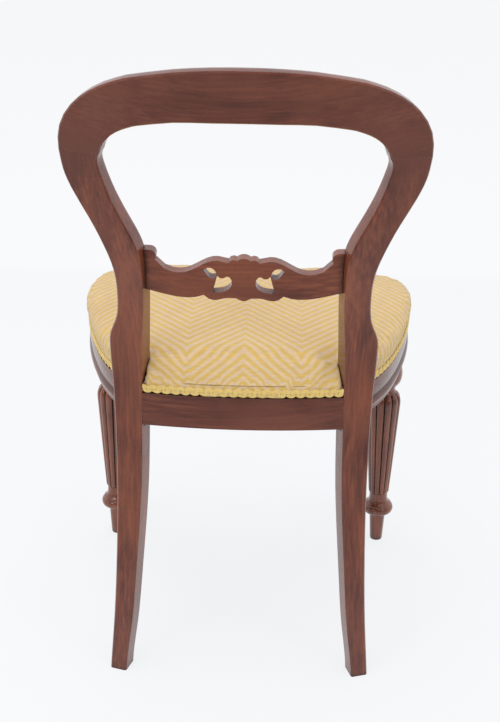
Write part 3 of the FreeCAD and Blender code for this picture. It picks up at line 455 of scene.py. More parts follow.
class Wiring:
    """Adds nodes to one tree and joins them."""

    def __init__(self, tree: bpy.types.NodeTree) -> None:
        """Starts on an empty tree."""
        self.tree = tree
        tree.nodes.clear()

    def add(self, kind: str, **settings: object) -> bpy.types.Node:
        """Adds a node of a kind and sets its properties.

        Args:
            kind: The shader node's kind.
            settings: Its properties by name.

        Returns:
            The node.
        """
        node = self.tree.nodes.new("ShaderNode" + kind)
        node.location = (len(self.tree.nodes) % 9 * 190, -(len(self.tree.nodes) // 9) * 260)
        for name, value in settings.items():
            setattr(node, name, value)
        return node

    def feed(self, socket: bpy.types.NodeSocket, source: object) -> None:
        """Joins a socket to another one, or sets its number.

        Args:
            socket: The socket.
            source: Another socket, or a value.
        """
        if isinstance(source, bpy.types.NodeSocket):
            self.tree.links.new(source, socket)
        else:
            socket.default_value = source

    def fed(self, kind: str, inputs: dict[int | str, object], **settings: object) -> bpy.types.Node:
        """Adds a node of a kind and feeds its inputs, each by its number or its name.

        Args:
            kind: The shader node's kind.
            inputs: What each input takes.
            settings: Its properties by name.

        Returns:
            The node.
        """
        node = self.add(kind, **settings)
        for label, source in inputs.items():
            self.feed(node.inputs[label], source)
        return node

    def sum(self, operation: str, *sources: object, clamp: bool = False) -> bpy.types.NodeSocket:
        """A Math node's result."""
        return self.fed("Math", dict(enumerate(sources)), operation=operation, use_clamp=clamp).outputs[0]

    def times(self, first: object, second: object) -> bpy.types.NodeSocket:
        """Two values multiplied."""
        return self.sum("MULTIPLY", first, second)

    def vector(self, operation: str, *sources: object) -> bpy.types.NodeSocket:
        """A Vector Math node's result."""
        return self.fed("VectorMath", dict(enumerate(sources)), operation=operation).outputs[0]

    def part(self, vector: object, axis: str) -> bpy.types.NodeSocket:
        """A vector's value along one axis."""
        return self.fed("SeparateXYZ", {0: vector}).outputs[axis]

    def mix(self, share: object, first: object, second: object, blend: str = "MIX") -> bpy.types.NodeSocket:
        """A colour mixed from two."""
        return self.fed("Mix", {0: share, 6: first, 7: second}, data_type="RGBA", blend_type=blend).outputs[2]

    def noise(self, vector: object, scale: float, detail: float = 2.0,
              rough: float = 0.5) -> bpy.types.NodeSocket:
        """A noise value at a scale."""
        inputs = {"Vector": vector, "Scale": scale, "Detail": detail, "Roughness": rough}
        return self.fed("TexNoise", inputs).outputs[0]

    def spread(self, source: object, low: object, high: object, to_low: float = 0.0,
               to_high: float = 1.0) -> bpy.types.NodeSocket:
        """A value moved smoothly from one range to another."""
        inputs = {"Value": source, "From Min": low, "From Max": high, "To Min": to_low, "To Max": to_high}
        return self.fed("MapRange", inputs, interpolation_type="SMOOTHSTEP").outputs[0]

    def raised(self, height: object, strength: float, distance: float,
               **base: object) -> bpy.types.NodeSocket:
        """A normal raised by a height."""
        inputs = {"Height": height, "Strength": strength, "Distance": distance, **base}
        return self.fed("Bump", inputs).outputs[0]

    def close(self, result: bpy.types.Node, kind: str = "OutputMaterial") -> None:
        """Ends the tree in an output node."""
        self.fed(kind, {0: result.outputs[0]})

    def place(self, name: str, **values: object) -> bpy.types.Node:
        """Places a node group with its own values.

        Args:
            name: The group's name.
            values: What each of its inputs takes.

        Returns:
            The placed group.
        """
        node = self.add("Group", node_tree=bpy.data.node_groups[name])
        for key, value in values.items():
            self.feed(node.inputs[key.replace("_", " ").capitalize()], value)
        return node


def new_material(name: str) -> tuple[bpy.types.Material, Wiring]:
    """An empty material and the wiring of its nodes.

    Args:
        name: The material's name.

    Returns:
        The material and its wiring.
    """
    made = bpy.data.materials.new(name)
    made.use_nodes = True
    return made, Wiring(made.node_tree)


def shader_group(name: str, inputs: dict[str, object], outputs: Sequence[str]) -> tuple[
        Wiring, dict[str, bpy.types.NodeSocket], bpy.types.Node]:
    """Starts a node group with named sockets.

    Args:
        name: The group's name.
        inputs: Each input's name with its starting number, or None for a vector.
        outputs: The names of the outputs, all plain values.

    Returns:
        The wiring, the inputs by name and the group's output node.
    """
    tree = bpy.data.node_groups.new(name, "ShaderNodeTree")
    for label, number in inputs.items():
        kind = "NodeSocketVector" if number is None else "NodeSocketFloat"
        socket = tree.interface.new_socket(name=label, in_out="INPUT", socket_type=kind)
        if number is not None:
            socket.default_value = number
    for label in outputs:
        tree.interface.new_socket(name=label, in_out="OUTPUT", socket_type="NodeSocketFloat")
    wiring = Wiring(tree)
    start = tree.nodes.new("NodeGroupInput")
    end = tree.nodes.new("NodeGroupOutput")
    return wiring, {label: start.outputs[label] for label in inputs}, end


def make_wood_figure() -> None:
    """The grain of a plank that runs along X: broad figure, fine lines, pores and slow clouds."""
    w, given, end = shader_group(
        "wood_figure", {"Vector": None, "Stretch": 0.07, "Wander": 0.02, "Seed": 0.0},
        ["Figure", "Lines", "Pores", "Clouds"])
    seed = w.fed("CombineXYZ", {"Y": given["Seed"], "Z": given["Seed"]})
    spot = w.vector("ADD", given["Vector"], seed.outputs[0])
    slow = w.fed("TexNoise", {"Vector": spot, "Scale": 3.2, "Detail": 1.5})
    centred = w.vector("SUBTRACT", slow.outputs["Color"], (0.5, 0.5, 0.5))
    sway = w.fed("VectorMath", {0: centred, "Scale": given["Wander"]}, operation="SCALE")
    bent = w.vector("ADD", spot, sway.outputs[0])
    squeeze = w.fed("CombineXYZ", {"X": given["Stretch"], "Y": 1.0, "Z": 1.0})
    plank = w.vector("MULTIPLY", bent, squeeze.outputs[0])
    broad = w.noise(plank, 48.0, 3.0, 0.5)
    close = w.noise(w.vector("MULTIPLY", plank, (0.35, 1.0, 1.0)), 260.0, 3.0, 0.6)
    w.feed(end.inputs["Figure"], w.sum("ADD", w.times(broad, 0.5), w.times(close, 0.5)))
    wave = w.fed("TexWave", {
        "Vector": plank, "Scale": 74.0, "Distortion": 5.0, "Detail": 3.0, "Detail Scale": 1.6},
        wave_type="BANDS", bands_direction="DIAGONAL")
    w.feed(end.inputs["Lines"], wave.outputs["Fac"])
    short = w.vector("MULTIPLY", bent, (0.09, 1.0, 1.0))
    w.feed(end.inputs["Pores"], w.spread(w.noise(short, 1500.0, 1.0), 0.62, 0.72))
    w.feed(end.inputs["Clouds"], w.noise(bent, 9.0, 2.0))


def make_edge_scuff_glint() -> None:
    """Lighter edges, partly wear and partly a painted highlight: high on convex edges, broken up by noise."""
    w, given, end = shader_group("edge_scuff_glint", {"Vector": None, "Reach": 0.0012, "Patchiness": 0.5}, ["Worn"])
    rounded = w.fed("Bevel", {"Radius": given["Reach"]}, samples=4).outputs[0]
    true = w.add("NewGeometry").outputs["Normal"]
    level = w.fed("VectorMath", {0: rounded, 1: true}, operation="DOT_PRODUCT").outputs["Value"]
    edge = w.spread(w.sum("SUBTRACT", 1.0, level), 0.01, 0.2)
    rub = w.sum("SUBTRACT", 1.0, w.times(given["Patchiness"], w.noise(given["Vector"], 40.0, 3.0)))
    w.feed(end.inputs["Worn"], w.sum("MULTIPLY", edge, rub, clamp=True))


def make_shade_in_hollows() -> None:
    """Painted shade: high in grooves and where pieces meet, by ambient occlusion."""
    w, given, end = shader_group("shade_in_hollows", {"Reach": 0.01, "Shallow": 0.88, "Deep": 0.45}, ["Depth"])
    open_share = w.fed("AmbientOcclusion", {"Distance": given["Reach"]}, samples=6).outputs["AO"]
    w.feed(end.inputs["Depth"], w.spread(open_share, given["Shallow"], given["Deep"]))


def make_weave() -> None:
    """A plain weave: threads over and under each other, and how each thread differs."""
    w, given, end = shader_group("weave", {"Vector": None, "Thread": 0.0012}, ["Height", "Over", "Yarn"])
    counted = w.vector("DIVIDE", given["Vector"], given["Thread"])
    u, v = w.part(counted, "X"), w.part(counted, "Y")
    across = w.sum("ABSOLUTE", w.sum("SINE", w.times(u, math.pi)))
    along = w.sum("ABSOLUTE", w.sum("SINE", w.times(v, math.pi)))
    parity = w.sum("PINGPONG", w.sum("ADD", w.sum("FLOOR", u), w.sum("FLOOR", v)), 1.0)
    over = w.sum("ROUND", parity)
    low = w.times(across, w.sum("SUBTRACT", 1.0, over))
    high = w.times(along, over)
    w.feed(end.inputs["Height"], w.sum("ADD", low, high))
    w.feed(end.inputs["Over"], over)
    row = w.fed("CombineXYZ", {"X": w.times(u, 0.06), "Y": w.sum("FLOOR", v)})
    w.feed(end.inputs["Yarn"], w.noise(row.outputs[0], 1.7, 1.0))


def make_chevron() -> None:
    """Slanting stripes that turn back every half width, as a value from 0 to 1."""
    w, given, end = shader_group(
        "chevron", {"Vector": None, "Half": 0.077, "Pitch": 0.0172, "Slope": 1.16, "Ragged": 0.001},
        ["Stripe"])
    turn = w.sum("PINGPONG", w.sum("ABSOLUTE", w.part(given["Vector"], "X")), given["Half"])
    run = w.sum("SUBTRACT", w.times(turn, given["Slope"]), w.part(given["Vector"], "Y"))
    shaky = w.times(given["Ragged"], w.sum("SUBTRACT", w.noise(given["Vector"], 420.0, 2.0), 0.5))
    phase = w.sum("DIVIDE", w.sum("ADD", run, shaky), given["Pitch"])
    wave = w.sum("SINE", w.times(phase, math.tau))
    w.feed(end.inputs["Stripe"], w.spread(wave, -0.85, 0.85, 0.06, 0.94))


class GrainWay(Enum):
    """The way the grain runs in a piece, as the turn that brings it onto X."""

    ACROSS = (0.0, 0.0, 0.0)
    UPRIGHT = (0.0, math.pi / 2, 0.0)
    DEEP = (0.0, 0.0, -math.pi / 2)


@dataclass(frozen=True)
class PolishedWood:
    """A polished or bare wood with its grain and pores, lighter edges that are partly wear and partly a
    painted highlight, and painted shade in its grooves.

    It may turn darker and cooler above a height, and lose its figure near a joint, where two pieces were
    stained as one.
    """

    dark: Colour = (0.072, 0.018, 0.012, 1)
    middle: Colour = (0.140, 0.037, 0.023, 1)
    light: Colour = (0.215, 0.063, 0.033, 1)
    # The lighter edge colour, for wear and a painted highlight along the edges.
    scuffed_lit_tone: Colour = (0.29, 0.10, 0.055, 1)
    # The painted shade colour that grooves and joins turn towards.
    painted_shade: Colour = (0.016, 0.006, 0.005, 1)
    streaks: float = 0.3
    contrast: float = 0.16
    gloss: float = 0.27
    coat: float = 0.5
    # Above this height the colour is multiplied by a cool grey tint, turning darker.
    darker_above: float = 0.0
    darker_run: float = 0.17
    darker_tint: Colour = (0.84, 0.82, 0.86, 1)
    joint_height: float = 0.0
    joint_reach: float = 0.06
    joint_tone: Colour = (0.135, 0.037, 0.022, 1)

    def material(self, name: str, way: GrainWay, seed: float) -> bpy.types.Material:
        """Mixes the finish for one run of grain.

        Args:
            name: The material's name.
            way: Which way the grain runs.
            seed: Moves the figure, so that no two pieces match.

        Returns:
            The material.
        """
        made, w = new_material(name)
        place = w.add("TexCoord").outputs["Object"]
        turn = w.fed("Mapping", {"Vector": place, "Rotation": way.value})
        figure = w.place("wood_figure", vector=turn.outputs[0], seed=seed)
        scuff_glint_share = w.place("edge_scuff_glint", vector=place)
        tone = w.fed("ValToRGB", {0: figure.outputs["Figure"]})
        ramp = tone.color_ramp.elements
        ramp[0].position, ramp[0].color = 0.51 - self.contrast, self.dark
        ramp[1].position, ramp[1].color = 0.53 + self.contrast, self.light
        ramp.new(0.51).color = self.middle
        lined = w.mix(w.times(figure.outputs["Lines"], self.streaks), tone.outputs[0], self.dark)
        cloudy = w.mix(w.spread(figure.outputs["Clouds"], 0.38, 0.68, 0.0, 0.45), lined, self.light)
        if self.darker_above:
            # Darker and cooler above a height.
            upper_darkening = w.spread(w.part(place, "Z"), self.darker_above, self.darker_above + self.darker_run)
            cloudy = w.mix(upper_darkening, cloudy, self.darker_tint, "MULTIPLY")
        if self.joint_height:
            away = w.sum("ABSOLUTE", w.sum("SUBTRACT", w.part(place, "Z"), self.joint_height))
            cloudy = w.mix(w.spread(away, 0.0, self.joint_reach, 0.75, 0.0), cloudy, self.joint_tone)
        pored = w.mix(w.times(figure.outputs["Pores"], 0.55), cloudy, self.dark)
        # Edges turn lighter: partly wear, partly a painted highlight.
        scuffed_lit_tone = w.mix(w.times(scuff_glint_share.outputs["Worn"], 0.5), pored, self.scuffed_lit_tone)
        # Painted shade: grooves and joins are darkened by ambient occlusion.
        shade_in_hollows = w.place("shade_in_hollows", reach=0.011)
        colour = w.mix(w.times(shade_in_hollows.outputs["Depth"], 0.9), scuffed_lit_tone, self.painted_shade)
        rough = w.sum("ADD", w.times(figure.outputs["Clouds"], 0.16), self.gloss - 0.08)
        relief = w.sum("ADD", w.times(figure.outputs["Pores"], -0.6), figure.outputs["Figure"])
        rounded = w.fed("Bevel", {"Radius": 0.0009}, samples=4)
        w.close(w.fed("BsdfPrincipled", {
            "Base Color": colour, "Roughness": w.sum("ADD", rough, w.times(figure.outputs["Pores"], 0.2)),
            "Specular IOR Level": 0.34, "Coat Weight": self.coat, "Coat Roughness": 0.06,
            "Normal": w.raised(relief, 0.14, 0.0005, Normal=rounded.outputs[0])}))
        return made


BEECH = PolishedWood(
    dark=(0.30, 0.17, 0.085, 1), middle=(0.40, 0.25, 0.13, 1), light=(0.52, 0.35, 0.20, 1),
    scuffed_lit_tone=(0.50, 0.34, 0.20, 1), painted_shade=(0.16, 0.09, 0.045, 1), streaks=0.15, gloss=0.62, coat=0.0)


class ClothMap(Enum):
    """Where a cloth's pattern takes its place from."""

    OWN = "UV"
    FLAT = "Object"


@dataclass(frozen=True)
class WovenCloth:
    """A woven cloth, plain or with chevron stripes."""

    ground: Colour
    second: Colour
    thread: float = 0.0012
    stripe: bool = False
    depth: float = 0.5
    sheen: float = 0.25
    placed: ClothMap = ClothMap.FLAT

    def material(self, name: str) -> bpy.types.Material:
        """Mixes the cloth's material.

        Args:
            name: The material's name.

        Returns:
            The material.
        """
        made, w = new_material(name)
        place = w.add("TexCoord").outputs[self.placed.value]
        weave = w.place("weave", vector=place, thread=self.thread)
        if self.stripe:
            share = w.place("chevron", vector=place).outputs["Stripe"]
            yarn = w.spread(weave.outputs["Yarn"], 0.3, 0.7, -0.26, 0.26)
            share = w.sum("ADD", share, yarn, clamp=True)
        else:
            share = w.times(weave.outputs["Over"], 0.6)
        colour = w.mix(share, self.ground, self.second)
        shade = w.spread(weave.outputs["Yarn"], 0.3, 0.7, 0.0, 0.32)
        colour = w.mix(shade, colour, (0.5, 0.42, 0.3, 1), "MULTIPLY")
        # Painted shade: the hollows between threads turn darker.
        thread_gap_shade = w.spread(weave.outputs["Height"], 0.0, 0.7, 0.34, 0.0)
        colour = w.mix(thread_gap_shade, colour, (0.32, 0.24, 0.12, 1), "MULTIPLY")
        soiled = w.spread(w.noise(place, 7.0, 3.0), 0.45, 0.8, 0.0, 0.16)
        colour = w.mix(soiled, colour, (0.62, 0.5, 0.34, 1), "MULTIPLY")
        w.close(w.fed("BsdfPrincipled", {
            "Base Color": colour, "Roughness": w.spread(weave.outputs["Height"], 0.0, 1.0, 0.95, 0.78),
            "Specular IOR Level": 0.3, "Sheen Weight": self.sheen, "Sheen Roughness": 0.5,
            "Normal": w.raised(weave.outputs["Height"], self.depth, 0.0004)}))
        return made


@dataclass(frozen=True)
class SilkyThread:
    """A shiny twisted thread."""

    bright: Colour = (0.98, 0.74, 0.25, 1)
    deep: Colour = (0.74, 0.43, 0.08, 1)
    shadow: Colour = (0.30, 0.15, 0.03, 1)

    def material(self, name: str) -> bpy.types.Material:
        """Mixes the thread's material.

        Args:
            name: The material's name.

        Returns:
            The material.
        """
        made, w = new_material(name)
        place = w.add("TexCoord").outputs["Object"]
        twist = w.spread(w.noise(place, 1400.0, 2.0), 0.35, 0.65)
        shade = w.spread(w.noise(place, 90.0, 2.0), 0.3, 0.7, 0.0, 0.4)
        colour = w.mix(w.times(w.sum("SUBTRACT", 1.0, twist), 0.5), self.bright, self.deep)
        colour = w.mix(shade, colour, self.bright)
        # Painted shade: the hollows between threads darken towards the shadow colour.
        shade_in_hollows = w.place("shade_in_hollows", reach=0.003, shallow=0.75, deep=0.25)
        colour = w.mix(w.times(shade_in_hollows.outputs["Depth"], 0.7), colour, self.shadow)
        w.close(w.fed("BsdfPrincipled", {
            "Base Color": colour, "Roughness": w.spread(twist, 0.0, 1.0, 0.72, 0.5), "Sheen Weight": 0.35,
            "Normal": w.raised(twist, 0.5, 0.0003)}))
        return made


class Finishes:
    """Every finish on the chair, mixed once."""

    def __init__(self) -> None:
        """Builds the node groups and the materials."""
        for make in (make_wood_figure, make_edge_scuff_glint, make_shade_in_hollows, make_weave, make_chevron):
            make()
        wood = PolishedWood()
        redder = PolishedWood(dark=(0.086, 0.020, 0.012, 1), middle=(0.172, 0.044, 0.024, 1),
                              light=(0.285, 0.080, 0.034, 1), contrast=0.13)
        post = replace(redder, darker_above=0.58, joint_height=CREST_JOINT)
        leg = replace(redder, dark=(0.100, 0.024, 0.012, 1), middle=(0.215, 0.056, 0.025, 1),
                      light=(0.350, 0.100, 0.037, 1), coat=0.8)
        self.crest = replace(wood, joint_height=CREST_JOINT).material("mahogany_crest", GrainWay.ACROSS, 0.3)
        self.post_left = post.material("mahogany_post_left", GrainWay.UPRIGHT, 1.7)
        self.post_right = post.material("mahogany_post_right", GrainWay.UPRIGHT, 4.1)
        self.splat = redder.material("mahogany_splat", GrainWay.ACROSS, 2.2)
        self.rail = wood.material("mahogany_rail", GrainWay.ACROSS, 5.3)
        self.side = wood.material("mahogany_side_rail", GrainWay.DEEP, 3.6)
        self.leg = leg.material("mahogany_leg", GrainWay.UPRIGHT, 6.4)
        self.beech_up = BEECH.material("beech_upright", GrainWay.UPRIGHT, 0.4)
        self.beech = BEECH.material("beech_flat", GrainWay.ACROSS, 0.9)
        self.chevron = WovenCloth(
            (0.83, 0.565, 0.15, 1), (0.87, 0.66, 0.45, 1), stripe=True,
            placed=ClothMap.OWN).material("chevron_cloth")
        self.gimp = SilkyThread().material("gimp_thread")
        self.jute = WovenCloth((0.46, 0.33, 0.18, 1), (0.36, 0.25, 0.13, 1),
                               thread=0.0022).material("jute_webbing")
        self.hessian = WovenCloth((0.48, 0.35, 0.19, 1), (0.38, 0.27, 0.14, 1),
                                  thread=0.0026).material("hessian")
        self.black = WovenCloth((0.018, 0.018, 0.02, 1), (0.03, 0.03, 0.032, 1), thread=0.0009,
                                sheen=0.1).material("black_cloth")
        self.steel = self.blued()

    @staticmethod
    def blued() -> bpy.types.Material:
        """The blued steel of the tacks.

        Returns:
            The material.
        """
        made, w = new_material("blued_steel")
        speck = w.noise(w.add("TexCoord").outputs["Object"], 900.0, 3.0)
        w.close(w.fed("BsdfPrincipled", {
            "Base Color": w.mix(speck, (0.05, 0.05, 0.06, 1), (0.16, 0.13, 0.11, 1)), "Metallic": 1.0,
            "Roughness": w.spread(speck, 0.3, 0.7, 0.3, 0.6)}))
        return made


@dataclass
class ShowWood:
    """The polished frame that stays as it was packed."""

    nodes: dict[str, bpy.types.Object]
    finishes: Finishes
    crease: float = 34.0

    def polish(self, name: str, material: bpy.types.Material) -> None:
        """Gives a node its finish and smooth curves.

        Args:
            name: The frame node.
            material: Its finish.
        """
        node = self.nodes[name]
        for socket in node.material_slots:
            socket.link = "OBJECT"
            socket.material = material
        merge = node.modifiers.new("merge", "WELD")
        merge.merge_threshold = 1e-5
        split = node.modifiers.new("crease", "EDGE_SPLIT")
        split.split_angle = math.radians(self.crease)
        even = node.modifiers.new("even", "WEIGHTED_NORMAL")
        even.keep_sharp = True
        LOG.info("%s keeps its shape, with %s", name, material.name)

    def build(self) -> None:
        """Dresses the whole frame."""
        f = self.finishes
        dress = {
            "crest_rail": f.crest, "rear_post_left": f.post_left, "rear_post_right": f.post_right,
            "splat": f.splat, "rear_seat_rail": f.rail, "front_seat_rail": f.rail,
            "side_seat_rail_left": f.side, "side_seat_rail_right": f.side,
            "corner_block_front_left": f.beech, "corner_block_front_right": f.beech,
            "corner_block_rear_left": f.beech, "corner_block_rear_right": f.beech,
            "crest_dowels": f.beech_up, "side_rail_dowels": f.beech,
            "rear_rail_dowels": f.beech, "front_rail_dowels": f.beech,
        }
        for name, material in dress.items():
            self.polish(name, material)


@dataclass
class FrontLegs:
    """The turned and reeded front legs, under their corners of the seat rail."""

    nodes: dict[str, bpy.types.Object]
    finishes: Finishes
    plan: SeatPlan
    reeds: int = 12
    across: int = 12
    groove: float = 0.16
    steps: int = 72
    head_start: float = 0.3732

    FOOT = (
        ((8.4, 0.0), (9.5, 0.5), (10.0, 1.8)),
        ((10.0, 1.8), (10.6, 12), (11.7, 31), (12.6, 46), (13.6, 49.6), (14.4, 50.4)),
        ((14.4, 50.4), (19.4, 51.8), (22.9, 54.4), (24.5, 58.0), (24.7, 61.0), (23.9, 64.0), (22.3, 65.9)),
        ((22.3, 65.9), (21.4, 66.3), (21.3, 68.4), (20.0, 69.8)),
        ((20.0, 69.8), (16.8, 71.8), (15.2, 75.5), (14.7, 80), (14.6, 85), (14.8, 89)),
    )
    CAP = (
        ((18.6, 269.0), (18.4, 271.2), (17.2, 273.6), (16.6, 277.5), (17.2, 280.6)),
        ((17.2, 280.6), (18.8, 281.1), (19.2, 282.6)),
        ((19.2, 282.6), (22.8, 286.4), (25.9, 293), (27.1, 301), (26.6, 309), (24.8, 317), (22.0, 324)),
        ((22.0, 324), (20.6, 325), (20.0, 328), (20.0, 342), (21.4, 350), (23.8, 353)),
        ((23.8, 353), (26.2, 354.5), (26.8, 358), (26.2, 361.5), (24.6, 363), (24.6, 373.4)),
    )
    SHAFT = ((87.5, 13.6), (88.6, 15.0), (91.5, 16.5), (97, 17.0), (130, 19.3), (172, 22.0), (214, 24.6),
             (238, 26.1), (251, 26.9), (258, 26.7), (263.5, 25.2), (267.5, 22.4), (270, 19.6), (270.8, 17.4))

    def profile(self, runs: Sequence[Sequence[tuple[float, float]]]) -> list[tuple[float, float]]:
        """A turned outline in metres, smooth in each run and sharp between runs.

        Args:
            runs: Radii and heights in millimetres, from the bottom up.

        Returns:
            Radii and heights in metres.
        """
        line: list[tuple[float, float]] = []
        for run in runs:
            line += [(r * MM, z * MM) for r, z in smooth_run(run, 3)][1 if line else 0:]
        return line

    def shaft(self, name: str, axis: Vector) -> bpy.types.Object:
        """The reeded length of a leg.

        Args:
            name: The new piece's name.
            axis: A point on the leg's axis.

        Returns:
            The reeded piece.
        """
        rings = []
        for height, radius in smooth_run(self.SHAFT, 3):
            ring = []
            for k in range(self.reeds * self.across):
                turn = math.tau * k / (self.reeds * self.across)
                off = (k % self.across) / self.across * 2 - 1
                bulge = math.sqrt(max(0.0, 1 - off * off))
                r = radius * MM * (1 - self.groove * (1 - bulge))
                ring.append((axis.x + r * math.cos(turn), axis.y + r * math.sin(turn), height * MM))
            rings.append(ring)
        return Bench.drawn(name, rings)

    def build(self, side: str) -> None:
        """Makes one leg and takes over from its frame node.

        Args:
            side: left or right.
        """
        node = f"front_leg_{side}"
        sign = 1 if side == "left" else -1
        axis = Vector((sign * self.plan.leg_x, -self.plan.leg_y, 0))
        head = Bench.copied(self.nodes[node], f"{node}_head")
        bpy.ops.object.mode_set(mode="EDIT")
        bpy.ops.mesh.select_all(action="SELECT")
        bpy.ops.mesh.bisect(plane_co=(0, 0, self.head_start), plane_no=(0, 0, 1), clear_inner=True,
                            use_fill=True)
        bpy.ops.object.mode_set(mode="OBJECT")
        Bench.smooth(head, 30)
        foot = Bench.turned(f"{node}_foot", self.profile(self.FOOT), axis, self.steps)
        cap = Bench.turned(f"{node}_cap", self.profile(self.CAP), axis, self.steps)
        shaft = self.shaft(f"{node}_shaft", axis)
        for piece in (foot, cap, shaft):
            Bench.smooth(piece, 42)
        leg = Bench.joined(f"{node}_turned", [head, foot, cap, shaft])
        Bench.dressed(leg, self.finishes.leg)
        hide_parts(node)
        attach(leg, BODY)
        LOG.info("%s: %d faces", leg.name, len(leg.data.polygons))


@dataclass
class SeatCushion:
    """The domed seat in its chevron cloth, over the stuffing."""

    finishes: Finishes
    plan: SeatPlan
    crown: float = 0.4690
    middle: float = SEAT_MIDDLE
    half_wide: float = 0.2435
    half_long: float = 0.1985
    voxel: float = 0.005
    most: float = 0.0045
    rear_start: float = 0.06
    rear_end: float = 0.105
    roll_start: float = 0.095
    roll_run: float = 0.055
    corner_from: tuple[float, float] = (0.15, 0.10)
    corner_run: tuple[float, float] = (0.0935, 0.14)
    corner_pull: float = 0.085
    dome_drop: float = 0.0082
    corner_drop: float = 0.006
    roll_drop: float = 0.007
    lip_drop: float = 0.0195
    post_share: float = 0.992
    flat_above: float = 0.456
    frames: int = 20
    tacked_below: float = 0.433
    rows: tuple[tuple[float, float, float], ...] = (
        (0.4200, 0.9880, 1.000), (0.4265, 0.9882, 0.970), (0.4330, 0.9890, 0.930), (0.4370, 1.0080, 0.870),
        (0.4415, 1.0240, 0.780), (0.4470, 1.0350, 0.670), (0.4520, 1.0340, 0.550), (0.4565, 1.0250, 0.430),
        (0.4600, 1.0080, 0.310))

    def drawn_in(self, x: float, y: float) -> float:
        """How far a place lies in a front corner, from 0 to 1.

        Args:
            x: How far left of the middle the place lies.
            y: How far back it lies.

        Returns:
            The share.
        """
        across = ramp(abs(x), self.corner_from[0], self.corner_run[0])
        along = ramp(-y, self.corner_from[1], self.corner_run[1])
        return (across * along) ** 1.3

    def fall(self, x: float, y: float) -> float:
        """How far the dome lies under its crown at a place: it rolls over early towards the rear rail.

        Args:
            x: How far left of the middle the place lies.
            y: How far back it lies.

        Returns:
            The drop in metres.
        """
        across = min(abs(x) / self.half_wide, 1.08)
        along = min(abs(y - self.middle) / self.half_long, 1.08)
        rear = ramp(y, self.roll_start, self.roll_run, 1.03)
        dome = self.dome_drop * (across ** 2.6 + along ** 2.6) + self.corner_drop * self.drawn_in(x, y)
        return dome + self.roll_drop * rear ** 2 + self.lip_drop * rear ** 7

    def shell(self) -> bpy.types.Object:
        """The cushion before it is filled.

        Each of its rows holds a height, the share of the outline at the sides and front, and the share of
        the rear edge behind the posts.

        Returns:
            The closed shell.
        """
        outline = self.plan.whole(0.009)
        post_line = self.plan.post_inner[1]
        rings = []
        for height, side, back in self.rows:
            ring = []
            lift = ramp(height, RAIL_TOP, 0.024)
            for p in outline:
                rear = ramp(p.y, self.rear_start, self.rear_end - self.rear_start)
                share = side + (self.post_share - side) * rear * rear * (3 - 2 * rear)
                share -= self.corner_pull * lift * self.drawn_in(p.x, p.y)
                x, y = p.x * share, p.y * share
                if p.y > post_line:
                    x, y = p.x * 1.008, post_line * self.post_share + (p.y - post_line) * back
                under_dome = min(height, self.crown - self.fall(x, y))
                ring.append((x, y, max(under_dome, min(height, self.tacked_below))))
            rings.append(ring)
        rim = rings[-1]
        for inward in (0.95, 0.9, 0.84, 0.76, 0.66, 0.54, 0.4, 0.26, 0.12):
            ring = []
            for x, y, z in rim:
                px, py = x * inward, self.middle + (y - self.middle) * inward
                top = self.crown - self.fall(px, py)
                blend = min(1.0, (1 - inward) / 0.12)
                ring.append((px, py, z + (top - z) * blend))
            rings.append(ring)
        return Bench.drawn("seat_cushion", rings)

    def fill(self, piece: bpy.types.Object) -> None:
        """Blows the cloth up against its tacked edge, then caps how far it went.

        Args:
            piece: The cushion.
        """
        start = [v.co.copy() for v in piece.data.vertices]
        held = piece.vertex_groups.new(name="tacked")
        held.add([k for k, co in enumerate(start) if co.z < RAIL_TOP + 0.002], 1.0, "ADD")
        cloth = piece.modifiers.new("fill", "CLOTH")
        settings = cloth.settings
        settings.quality = 5
        settings.mass = 0.3
        settings.tension_stiffness = settings.compression_stiffness = 18
        settings.bending_stiffness = 1.2
        settings.use_pressure = True
        settings.uniform_pressure_force = 4.0
        settings.shrink_min = -0.03
        settings.vertex_group_mass = "tacked"
        settings.effector_weights.gravity = 0.0
        cloth.collision_settings.use_collision = False
        cloth.point_cache.frame_start, cloth.point_cache.frame_end = 1, self.frames
        for frame in range(1, self.frames + 1):
            bpy.context.scene.frame_set(frame)
        Bench.settle(piece)
        bpy.context.scene.frame_set(1)
        for vertex, was in zip(piece.data.vertices, start):
            move = vertex.co - was
            if move.length > self.most:
                vertex.co = was + move * (self.most / move.length)

    def clear_posts(self, piece: bpy.types.Object) -> None:
        """Keeps the cloth off the two posts.

        Args:
            piece: The cushion.
        """
        inner, along, normal = self.plan.post_corner()
        gap = 0.0008
        for vertex in piece.data.vertices:
            side = -1 if vertex.co.x < 0 else 1
            spot = Vector((vertex.co.x * side, vertex.co.y, 0)) - inner
            out, back = spot.dot(along) + gap, spot.dot(normal) + gap
            if out > 0 and back > 0:
                move = -along * out if out < back else -normal * back
                vertex.co.x += move.x * side
                vertex.co.y += move.y

    def cloth_map(self, piece: bpy.types.Object) -> None:
        """Lays the pattern flat on top and lets it run on down the sides.

        Args:
            piece: The cushion.
        """
        mesh = piece.data
        layer = mesh.uv_layers.new(name="cloth")
        flat = []
        for vertex in mesh.vertices:
            co, out = vertex.co, vertex.normal
            level = math.hypot(out.x, out.y)
            drop = max(0.0, self.flat_above - co.z)
            share = min(1.0, level / 0.5)
            push = drop * share / max(level, 1e-6)
            flat.append((co.x + out.x * push, co.y + out.y * push))
        for loop in mesh.loops:
            layer.data[loop.index].uv = flat[loop.vertex_index]

